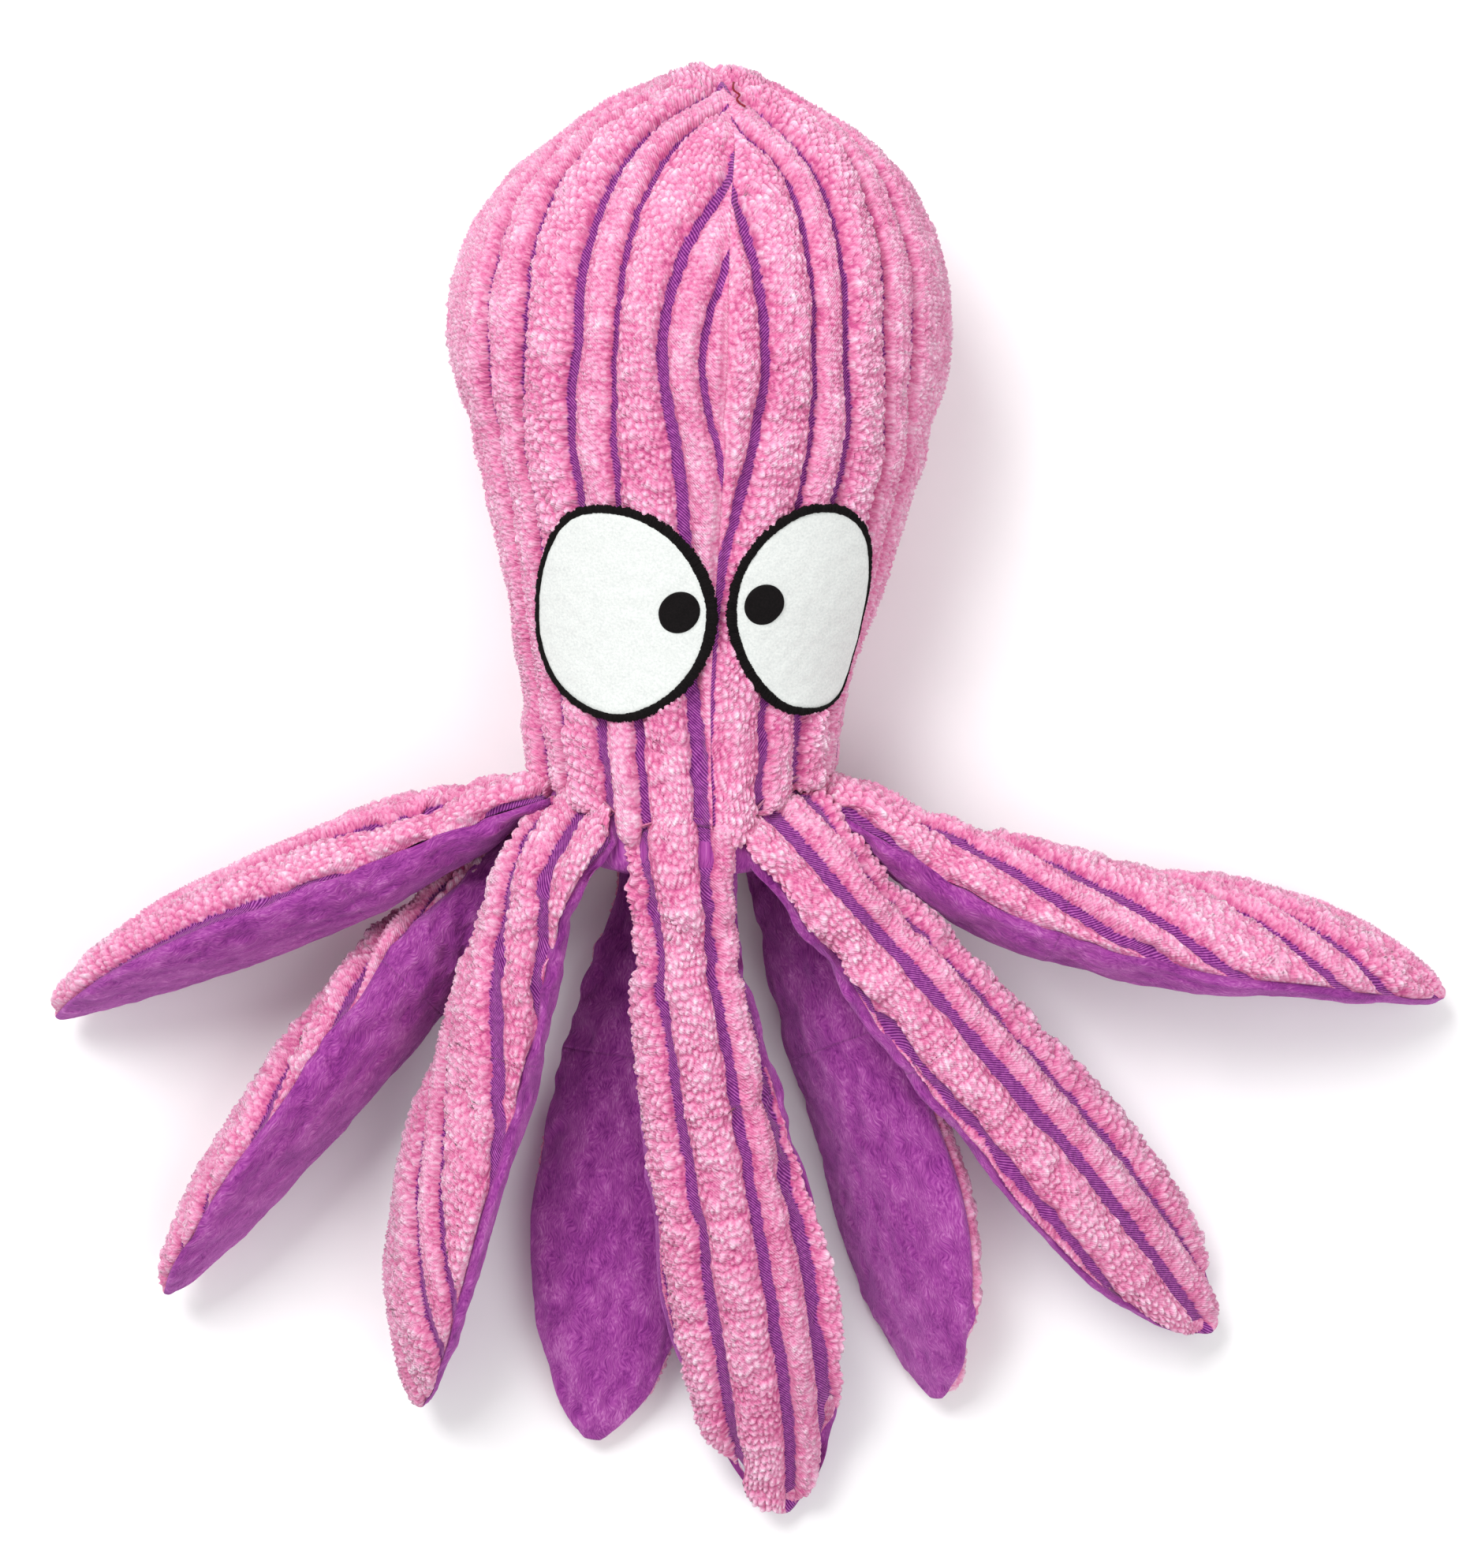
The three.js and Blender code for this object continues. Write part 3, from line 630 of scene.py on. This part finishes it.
# Eyes: middle along the head and round it from the top, the outline's distance from the
# middle at every 30 degrees from the crown towards +X, its width at the same places, and
# the pupil's middle.
EYES = {
    "left": {
        "y": -64.4, "round": -17.3, "pupil": (-63.4, -2.8),
        "clock": [23.4, 21.6, 20.9, 21.8, 22.6, 23, 24, 23.8, 22.2, 21.9, 23.8, 25.8],
        "width": [2, 2.4, 2.7, 2.8, 2.6, 2.2, 2, 1.8, 1.4, 1.2, 1.4, 1.8],
    },
    "right": {
        "y": -65.6, "round": 27.4, "pupil": (-61.8, 16.1),
        "clock": [25.4, 25.6, 21.4, 19.4, 22.6, 28.2, 24, 19.1, 17.2, 18.2, 20.4, 22.8],
        "width": [2, 1.8, 0.8, 0.5, 0.5, 0.9, 2.2, 2.4, 2.2, 2.4, 2.2, 2.2],
    },
}
PUPIL = 4.6


def clock(values, angle):
    """Smooth value at an angle from a list of 12 values every 30 degrees."""
    table = [(30 * k, values[k % 12]) for k in range(-2, 15)]
    return sample(table, np.degrees(angle).ravel() % 360)[:, 0].reshape(angle.shape)


def eye_reach(eye, y, top):
    """How far a place on the head is from the eye's middle, as a share of the way to its edge."""
    up, side = y - eye["y"], top - eye["round"]
    return np.hypot(up, side) / clock(eye["clock"], np.arctan2(side, up + 0 * side))


def make_gore(name, start, end, table, middles, widths, seed, pitch, front):
    points, distance, top, along, y, rolled = head_grid(start, end, pitch)
    outward = normals(points)
    if np.mean(np.sum(outward * (points - np.array([0, -20, 38])), axis=-1)) < 0:
        outward = -outward
    across = pattern_place(distance, y, table, middles) if front else distance
    from_seam = np.minimum(distance, distance[:, -1:] - distance)
    from_seam = np.where(rolled[:, None] > 0, 9, from_seam)   # no seam on the rolled edge
    press = np.zeros_like(distance)
    if front:
        for eye in EYES.values():
            press = np.maximum(press, 1 - smoothstep(eye_reach(eye, y[:, None], top), 0.98, 1.04))
    line = np.broadcast_to(along[:, None], distance.shape)
    bare = 1 - smoothstep(y, 57, 59.5)[:, None]
    flush = np.maximum(smoothstep(y, 14, 24), smoothstep(-y, 64, 74))[:, None]
    wider = STRIPE_GROWTH["neck"] * smoothstep(-y, 60, 88)[:, None]
    height, fields = striped_relief(
        across, line, list(zip(middles, widths)), from_seam, seed, wider, press, bare,
        SEAM_HEIGHT + 1.4 * flush)
    gather = smoothstep(-y, 84, 107)[:, None] * (0.9 * noise(across / 5.5, line / 40, seed + 20))
    skin = points + outward * (height + gather)[..., None]
    above_floor(skin)
    picks = np.linspace(distance.shape[1] - 1, 0, 24).astype(int)
    lining = (points - outward * (SHELL + 0.3))[:, picks]
    lining[..., 2] = np.maximum(lining[..., 2], 2)
    near = np.minimum(1, along / 12)[:, None, None]
    centre = np.stack([np.full_like(y, 2.3), y, np.full_like(y, 40)], axis=-1)[:, None]
    lining = lining * near + (centre * 0.3 + points[:, picks] * 0.7) * (1 - near)
    flip = front and name.endswith("left")
    return shell(name, skin, lining, STRIPED, cloth_fields(points, across, line, fields), flip)


def make_head():
    left = canonical(6)
    right = [0, 13.1, 23.5, 36.6, 47]
    left_widths, right_widths = [1.9, 2.7, 1.5, 2.5, 1.5, 1.5], [2.3, 1.5, 2.3, 1.4, 1.3]
    gores = {
        "front_left": (SEAM, -90, LEFT_STRIPES, left, left_widths, 11, 0.48, True),
        "front_right": (SEAM, 90, RIGHT_STRIPES, right, right_widths, 41, 0.48, True),
        "back": (90, 270, None, canonical(18), [2.5] * 18, 71, 0.75, False),
    }
    for place, (start, end, table, middles, widths, seed, pitch, front) in gores.items():
        name = "head_cloth_" + place.removeprefix("front_")
        gore = make_gore(name, start, end, table, middles, widths, seed, pitch * FINE, front)
        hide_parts(f"head_{place}")
        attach(gore, "body")


# ---------------------------------------------------------------- legs

# Legs by place round the neck. angle is the place on the neck ellipse in degrees, from +X
# over +Z. roll turns the section about the route, in degrees at the root and by the tip.
# thick multiplies the heights of its sections beyond the root.
# stripes are the middle of each bare stripe and its width, across the outer face. skew is
# how far the stripes have moved across the face by each share of the length.
LEGS = {
    "front": {
        "angle": 90, "roll": (0, 4), "thick": 1.1, "pitch": 0.45,
        "route": [(-2.5, -111.5, 58), (-3, -127, 54), (-1, -150, 47.5), (3, -176, 40), (8.5, -204, 33),
                  (14, -232, 24), (18, -256, 12.5), (19.5, -272, 5)],
        "stripes": [(-29.5, 2.6), (-17.2, 3.6), (-6.5, 2.4), (8.4, 2.4), (22, 2.4), (33, 2.4)],
        "skew": [(0, 2.5), (0.12, 0), (0.4, -1.2), (0.7, 0.5), (1, 3.5)],
    },
    "front_left": {
        "angle": 135, "roll": (14, 28), "thick": 1.15, "pitch": 0.45,
        "route": [(-25, -109, 51.5), (-34, -121, 50.5), (-40.5, -140, 45.5), (-47.5, -166, 38.5),
                  (-56.5, -194, 32), (-62.5, -220, 23.5), (-65.5, -246, 10)],
        "stripes": [(-14, 2.4), (-1, 2.8), (11.8, 3.6), (29.8, 1.8), (40, 3), (58, 2.4),
                    (68.5, 2.4), (82, 2.4)],
        "skew": [(0, 0), (1, -68)],
    },
    "left": {
        "angle": 180, "roll": (-4, 4), "thick": 1.3, "pitch": 0.45,
        "route": [(-34.5, -104.2, 34), (-45, -107.8, 34), (-59, -113, 32), (-74, -119.5, 29.5),
                  (-91, -127, 27), (-111, -135.5, 23), (-130, -144.4, 17.2), (-149.5, -155.7, 8.8)],
        "stripes": [(-38, 2.4), (-24.5, 3.4), (-10, 2.2), (0.5, 2.4), (14, 2.4), (24.5, 2.4)],
        "skew": [(0, 10), (0.1, 6), (0.15, 3.4), (0.2, 1), (0.3, -1), (0.42, 0.3), (0.6, -0.3),
                 (0.78, 0.9), (0.9, 6.5), (1, 9)],
    },
    "back_left": {
        "angle": 225, "roll": (-18, -54), "thick": 1.25, "pitch": 0.45,
        "route": [(-25, -109.5, 17), (-38, -119, 17.5), (-53.5, -133, 18.5), (-69, -149, 20.3),
                  (-83, -166, 21.3), (-98.6, -185, 21), (-112.2, -204, 17.5), (-124, -220, 10)],
        "stripes": [(-67, 2.4), (-57, 2.4), (-43, 2.6), (-33.5, 2.8), (-21, 2.8), (-6.5, 2.6),
                    (4, 2.4), (17, 2.4), (27, 2.4), (40, 2.4), (50, 2.4), (63, 2.4)],
        "skew": [(0, 44), (0.625, 0), (1, -26)],
    },
    "back": {
        "angle": 270, "roll": (0, 4), "thick": 1, "pitch": 0.7,
        "route": [(-3, -111, 11.2), (-8, -128, 11.2), (-13, -151, 11.4), (-17, -177, 11.4),
                  (-19, -204, 11), (-21.5, -231, 9.2), (-25, -255, 5)],
        "stripes": [(-29, 2.4), (-18.5, 2.4), (-5, 2.4), (5.5, 2.4), (19, 2.4), (29.5, 2.4)],
        "skew": [(0, 0), (1, 2)],
    },
    "back_right": {
        "angle": 315, "roll": (0, 8), "thick": 1.1, "pitch": 0.7,
        "route": [(18, -109.5, 17), (23, -128, 17), (30, -150, 17.5), (38.5, -173, 18), (46.5, -197, 17),
                  (51.5, -222, 13.5), (55.5, -245, 7)],
        "stripes": [(-31, 2.4), (-20.5, 2.4), (-7, 2.4), (3.5, 2.4), (17, 2.4), (27.5, 2.4)],
        "skew": [(0, 0), (1, -5)],
    },
    "right": {
        "angle": 0, "roll": (16, 27), "thick": 1.35, "pitch": 0.45,
        "route": [(28.5, -104.2, 34), (37.6, -108.8, 34.5), (50, -116.6, 33.5), (67, -125.4, 31.5),
                  (89, -132.5, 28), (112.6, -136.5, 24), (139, -140, 18.6), (157.4, -145, 13.4),
                  (174, -150.5, 7.6)],
        "stripes": [(-56, 2.4), (-45, 2.4), (-29.2, 2.6), (-18, 2.6), (2.4, 3.4), (13.2, 2.8),
                    (27.9, 3.2), (38, 2.4), (52, 2.4)],
        "skew": [(0, -14), (0.1, -11), (0.217, -6.4), (0.333, 0), (0.417, 5), (0.483, 8.6),
                 (0.542, 13.6), (0.6, 19.8), (0.658, 25.5), (0.733, 34), (0.817, 41), (0.892, 46),
                 (1, 52)],
    },
    "front_right": {
        "angle": 45, "roll": (0, -8), "thick": 1.1, "pitch": 0.45,
        "route": [(18.5, -109.5, 51.5), (27, -121, 50), (38.5, -135.5, 45.5), (54, -153.5, 40.5),
                  (71, -172, 34), (89, -192, 26.5), (105.5, -212, 17.5), (120.5, -228.5, 7.5)],
        "stripes": [(-31.5, 2.4), (-21.5, 2.4), (-7.8, 2.8), (3.4, 3.2), (18.6, 2.6), (29, 2.4)],
        "skew": [(0, -1), (0.3, -0.5), (0.55, 1.5), (1, 0)],
    },
}
SPLIT = 0.38              # share of the leg where its root piece meets its tip piece
START = -0.035            # the root piece starts this share inside the neck
# Shares of the leg around where it leaves the neck, and around its knee. make_leg_piece finds the leg's
# middle there and uses it for nothing; the cloth is not made to bend.
BENDS = {"root": (-0.03, 0.1), "tip": (0.44, 0.57)}


def leg_frames(leg, shares):
    """Places, outer normals and width directions of a leg's middle, and its length."""
    route = np.array(leg["route"], float)
    reach = np.concatenate([[0], np.cumsum(np.linalg.norm(np.diff(route, axis=0), axis=1))])
    table = np.column_stack([reach, route])
    length = reach[-1]
    fine = np.linspace(0, 1, 401)
    near = 0.004
    ahead = sample(table, np.minimum(fine + near, 1) * length)
    behind = sample(table, np.maximum(fine - near, 0) * length)
    along = unit(ahead - behind)
    turn = math.radians(leg["angle"])
    normal = unit(np.array([math.cos(turn) / NECK["ring_x"], 0, math.sin(turn) / NECK["ring_z"]]))
    carried = []
    for direction in along:
        normal = unit(normal - direction * (normal @ direction))
        carried.append(normal)
    carried = np.array(carried)
    first, last = leg["roll"]
    spin = np.radians(first + (last - first) * smoothstep(fine, 0, 0.7))[:, None]
    outer = carried * np.cos(spin) + np.cross(along, carried) * np.sin(spin)
    width = np.cross(along, outer)

    def pick(vectors):
        return unit(np.column_stack([np.interp(shares, fine, vectors[:, k]) for k in range(3)]))

    place = sample(table, np.clip(shares, 0, 1) * length)
    place += (np.minimum(shares, 0) * length)[:, None] * along[0]
    return place, pick(outer), pick(width), length


def leg_surface(leg, side, shares, columns):
    """Smooth face of a leg from seam to seam: points, and distance across from its middle line."""
    place, outer, width, length = leg_frames(leg, shares)
    half_width, outer_height, inner_height = sample(PADDLE, np.clip(shares, 0, 1)).T
    height = outer_height if side > 0 else inner_height
    height = height * (1 + (leg["thick"] - 1) * smoothstep(shares, 0.05, 0.35))
    full = 1 - smoothstep(shares, 0, 0.2)
    half_width = half_width + 3.2 * full
    tuck = 1 - 0.45 * smoothstep(-shares, 0, -START)
    angle = np.linspace(0, math.pi, columns)
    across = -np.cos(angle)[None, :] * (half_width * tuck)[:, None]
    power = (1.2 - 0.5 * full)[:, None]
    up = np.sin(angle)[None, :] ** power * (height * tuck)[:, None]
    points = place[:, None] + width[:, None] * across[..., None]
    points = points + outer[:, None] * (side * up)[..., None]
    step = np.linalg.norm(np.diff(points, axis=1), axis=2)
    distance = np.concatenate([np.zeros((len(shares), 1)), np.cumsum(step, axis=1)], axis=1)
    distance -= distance[:, columns // 2][:, None]
    return points, distance, outer * side, length


def leg_bag(leg):
    """The leg's swelling: rows along its length, and columns over the outer face and back
    under the inner."""
    shares = np.linspace(START, 1, BAG_ROWS)
    over = leg_surface(leg, 1, shares, BAG_COLUMNS)[0]
    under = leg_surface(leg, -1, shares, BAG_COLUMNS)[0]
    rings = np.concatenate([over, under[:, -2:0:-1]], axis=1)
    keep = 1 - smoothstep(shares, 0.84, 0.96)
    return swell(rings, slice(0, 3), [0, BAG_COLUMNS - 1]) * (0.5 * keep)[:, None, None]


def swollen_surface(leg, bag, side, shares, columns):
    """Face of a leg, moved by its swelling."""
    points, distance, up, length = leg_surface(leg, side, shares, columns)
    row = (np.clip(shares, START, 1) - START) / (1 - START) * (BAG_ROWS - 1)
    column = side * np.linspace(0, BAG_COLUMNS - 1, columns)
    moved = lookup(bag, row[:, None] + 0 * column, column + 0 * row[:, None])
    return points + moved, distance, up, length


def make_leg_piece(place, leg, bag, side, first, last, seed):
    face = "outer" if side > 0 else "inner"
    part = "root" if first < 0.1 else "tip"
    pitch = (leg["pitch"] if side > 0 else max(leg["pitch"], 0.55)) * FINE
    length = leg_frames(leg, np.array([0.0]))[-1]
    rows = int((last - first) * length / pitch)
    girth = 50
    columns = int(girth / pitch) // 2 * 2 + 1
    shares = np.linspace(first, last, rows)
    points, distance, up, _ = swollen_surface(leg, bag, side, shares, columns)
    padded = np.concatenate([first - (shares[1:2] - first), shares, last + (last - shares[-2:-1])])
    outward = normals(swollen_surface(leg, bag, side, padded, columns)[0])[1:-1]
    outward *= np.sign(np.sum(outward * up[:, None], axis=-1, keepdims=True).mean())
    line = np.broadcast_to((shares * length)[:, None], distance.shape)
    to_tip = (1 - shares)[:, None] * length
    from_seam = np.minimum(distance - distance[:, :1], distance[:, -1:] - distance)
    from_seam = np.minimum(from_seam, to_tip)
    if side > 0:
        across = distance - sample(leg["skew"], np.clip(shares, 0, 1))
        height, fields = striped_relief(
            across, line, leg["stripes"], from_seam, seed, STRIPE_GROWTH["leg"])
        material, slot = STRIPED, "striped_plush"
    else:
        across = distance
        height, fields = smooth_relief(across, line, from_seam, seed)
        material, slot = SMOOTH, "smooth_plush"
    height = height * smoothstep(to_tip, 0, 3)
    skin = points + outward * height[..., None]
    above_floor(skin)
    steps = np.array([0.15, 0.5, 0.85])[None, :, None]
    lining = skin[:, [-1]] * (1 - steps) + skin[:, [0]] * steps + up[:, None] * 0.35
    piece = shell(f"leg_{place}_{face}_{part}_cloth", skin, lining, material,
                  cloth_fields(points, across, line, fields), flip=side < 0)
    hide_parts(f"leg_{place}_{face}_{part}")
    middles = leg_frames(leg, np.array(BENDS[part]))[0]
    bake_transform(piece)


def make_legs():
    for index, (place, leg) in enumerate(LEGS.items()):
        bag = leg_bag(leg)
        for side in (1, -1):
            seed = 100 + index * 60 + (0 if side > 0 else 30)
            make_leg_piece(place, leg, bag, side, START, SPLIT, seed)
            make_leg_piece(place, leg, bag, side, SPLIT, 1.0, seed)


# ---------------------------------------------------------------- eyes

def face_place(y, top, lift):
    """Points over the head's CAD surface, from y and millimetres round from the top."""
    half_width, half_depth, x, z = sample(HEAD, y.ravel()).T
    arcs = np.linspace(0, math.pi / 2, 361)
    speed = np.hypot(half_width[:, None] * np.cos(arcs), half_depth[:, None] * np.sin(arcs))
    steps = np.cumsum(speed[:, 1:], axis=1) * arcs[1]
    reach = np.concatenate([np.zeros((len(speed), 1)), steps], axis=1)
    turn = np.array([np.interp(abs(t), row, arcs) * np.sign(t) for t, row in zip(top.ravel(), reach)])
    lifts = np.broadcast_to(lift, y.shape).ravel()
    rise = NECK_RISE * np.sin(turn) ** 2 * smoothstep(-y.ravel(), 50, -NECK_Y)
    points = np.stack([
        x + (half_width + lifts) * np.sin(turn),
        y.ravel() + rise,
        z + (half_depth + lifts) * np.cos(turn),
    ], axis=-1)
    return points.reshape(y.shape + (3,))


def eye_places(eye, share, angle, grow=0.0):
    """Place along and round the head for a share of the way to the eye's edge, at an angle."""
    reach = clock(eye["clock"], angle) * share + grow
    return eye["y"] + reach * np.cos(angle), eye["round"] + reach * np.sin(angle)


def patch(name, eye, top, material, seed, rings=40, around=180, rough=0.12):
    """Closed disc of cloth on the head, with its edge turned down."""
    angle = np.linspace(0, 2 * math.pi, around, endpoint=False)[None, :]
    share = np.linspace(0.02, 1, rings)[:, None] + 0 * angle
    y, round_ = eye_places(eye, share, angle)
    lift = top - 0.5 * smoothstep(share, 0.93, 1) + rough * noise(y / 2.5, round_ / 2.5, seed)
    upper = face_place(y, round_, lift)
    lower_share = np.array([1, 0.5, 0.05])[:, None] + 0 * angle
    y_low, round_low = eye_places(eye, lower_share, angle)
    lower = face_place(y_low, round_low, -1.6)
    points = np.concatenate([upper, lower], axis=0)
    faces = [face[:1] + face[:0:-1] for face in capped_quads(numbered(points))]
    return make_mesh(name, points.reshape(-1, 3), faces, material)


def outline(name, eye, material, seed):
    """Closed ring of close satin stitches round the eye's felt."""
    around, across = 1100, 12
    angle = np.linspace(0, 2 * math.pi, around, endpoint=False)[:, None]
    turn = np.linspace(0, 2 * math.pi, across, endpoint=False)[None, :]
    half = clock(eye["width"], angle) / 2
    flat = 0 * angle
    ragged = 0.22 * noise(angle * 30, flat, seed) + 0.22 * noise(angle * 110, flat, seed + 1)
    even = 0.1 * noise(angle * 60, flat, seed + 2)
    side = np.where(np.cos(turn) > 0, half + ragged, half + even)
    ridges = 1 + 0.3 * noise(angle * 130, flat, seed + 3)
    lift = 0.2 + (0.8 * ridges * np.minimum(1, half)) * np.sin(turn)
    y, round_ = eye_places(eye, 1.0, angle + 0 * turn, side * np.cos(turn))
    points = face_place(y, round_, lift)
    number = numbered(points)
    right, down = np.roll(number, -1, axis=0), np.roll(number, -1, axis=1)
    both = np.roll(right, -1, axis=1)
    quads = np.stack([number, right, both, down], axis=-1).reshape(-1, 4)
    return make_mesh(name, points.reshape(-1, 3), [tuple(q) for q in quads.tolist()], material)


def make_eyes():
    for seed, (side, eye) in enumerate(EYES.items(), start=700):
        pupil = {"y": eye["pupil"][0], "round": eye["pupil"][1], "clock": [PUPIL] * 12}
        pieces = {
            f"eye_felt_{side}": (patch(f"eye_white_{side}", eye, 0.5, FELT, seed), "white_felt"),
            f"eye_outline_{side}": (
                outline(f"eye_stitching_{side}", eye, STITCH, seed), "black_stitching"),
            f"pupil_{side}": (
                patch(f"eye_pupil_{side}", pupil, 1.1, STITCH, seed, 14, 110, 0.3), "black_stitching"),
        }
        for node, (piece, slot) in pieces.items():
            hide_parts(node)
            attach(piece, "body")


# ---------------------------------------------------------------- small pieces

def make_base():
    """Purple cloth that closes the neck behind the leg roots, domed with a rolled rim."""
    profile = [(0.02, -120), (0.3, -120), (0.6, -121), (0.82, -121.8), (0.95, -120.8), (1.0, -117),
               (0.97, -111), (0.85, -107), (0.5, -105.5), (0.02, -105.5)]
    marks = np.linspace(0, 1, len(profile))
    fine = sample([(m, *p) for m, p in zip(marks, profile)], np.linspace(0, 1, 70))
    angle = np.linspace(0, 2 * math.pi, 220, endpoint=False)[None, :]
    share, y = fine[:, :1], fine[:, 1:]
    along = share * 30
    bumps = 0.35 * noise(angle * 8, along / 2, 900) * share
    points = np.stack([
        NECK["x"] + (32.5 + bumps) * share * np.sin(angle),
        y + NECK_RISE * 0.9 * (share * np.sin(angle)) ** 4 - bumps,
        NECK["z"] + (26.5 + bumps) * share * np.cos(angle),
    ], axis=-1)
    number = numbered(points)
    around = angle * 28 + 0 * share
    fields = {
        "lift": np.full(number.size, 0.5),
        "cloth": (np.stack([around, along + 0 * angle, 0 * around], axis=-1) * MM).reshape(-1, 3),
    }
    base = make_mesh("base_cloth", points.reshape(-1, 3), capped_quads(number), SMOOTH, fields)
    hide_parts("base_panel")
    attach(base, "body")


def make_thread():
    """Loose end of sewing thread at the crown."""
    places = [
        (56.8, 5.6, 1.0), (55.8, 5.2, 2.2), (54.4, 5.4, 2.4), (53.3, 6.6, 2.2), (52.2, 6.2, 1.8),
        (51.2, 6.9, 1.4), (50.4, 8.2, 1.0),
    ]                     # y, millimetres round from the top, lift
    steps = 60
    marks = np.linspace(0, 1, len(places))
    path = sample([(m, *p) for m, p in zip(marks, places)], np.linspace(0, 1, steps))
    middle = face_place(path[:, 0], path[:, 1], path[:, 2])
    along = unit(np.gradient(middle, axis=0))
    side = unit(np.cross(along, np.array([0.0, 0.3, 1.0])))
    up = np.cross(side, along)
    turn = np.linspace(0, 2 * math.pi, 8, endpoint=False)
    twist = np.linspace(0, 26, steps)[:, None]
    radius = 0.24 * (1 + 0.2 * np.cos(2 * turn[None, :] + twist))
    points = (middle[:, None] + side[:, None] * (radius * np.cos(turn))[..., None]
              + up[:, None] * (radius * np.sin(turn))[..., None])
    faces = capped_quads(numbered(points))
    thread = make_mesh("loose_thread", points.reshape(-1, 3), faces, THREAD)
    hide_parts("crown_thread")
    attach(thread, "body")


def finish_inner_nodes():
    """Procedural materials on the CAD nodes that stay: filling, squeaker and crinkle film."""
    for name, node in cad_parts.items():
        for start, material in (("stuffing", FIBRE), ("squeaker", PLASTIC), ("leg_", FILM)):
            if name.startswith(start):
                for slot in node.material_slots:
                    slot.material = material


# ---------------------------------------------------------------- camera, light and floor

def make_stage():
    scene = bpy.context.scene
    camera = bpy.data.cameras.new("camera")
    camera.lens = 126.8
    camera.sensor_width = 36
    camera.clip_start = 0.05
    camera.clip_end = 20
    holder = bpy.data.objects.new("camera", camera)
    holder.location = (0.00846, -0.1015, 1.3)
    scene.collection.objects.link(holder)
    scene.camera = holder

    mesh = bpy.data.meshes.new("floor")
    reach = 6
    corners = [(-reach, -reach, 0), (reach, -reach, 0), (reach, reach, 0), (-reach, reach, 0)]
    mesh.from_pydata(corners, [], [(0, 1, 2, 3)])
    floor = bpy.data.objects.new("floor", mesh)
    floor.location.z = -0.0003
    scene.collection.objects.link(floor)
    mesh.materials.append(plain("floor", (0.95, 0.95, 0.95), (0.98, 0.98, 0.98), 0.9, 30, strength=0.02))

    lights = {
        "key": ((-0.55, 0.7, 1.35), 0.8, 19.5),
        "fill": ((0.7, -0.5, 1.4), 1.2, 8.0),
    }
    for name, (place, size, power) in lights.items():
        lamp = bpy.data.lights.new(name, "AREA")
        lamp.shape = "SQUARE"
        lamp.size = size
        lamp.energy = power
        holder = bpy.data.objects.new(name, lamp)
        holder.location = place
        aim = np.array([0, -0.1, 0.03]) - np.array(place)
        holder.rotation_mode = "QUATERNION"
        holder.rotation_quaternion = Vector(aim).to_track_quat("-Z", "Y")
        scene.collection.objects.link(holder)
    world = bpy.data.worlds.new("world")
    world.use_nodes = True
    world.node_tree.nodes["Background"].inputs["Color"].default_value = (1, 1, 1, 1)
    world.node_tree.nodes["Background"].inputs["Strength"].default_value = 0.6
    scene.world = world
    scene.view_settings.view_transform = "Standard"


make_stage()
HEAD_BAG = head_bag()
make_head()
make_legs()
make_eyes()
make_base()
make_thread()
finish_inner_nodes()
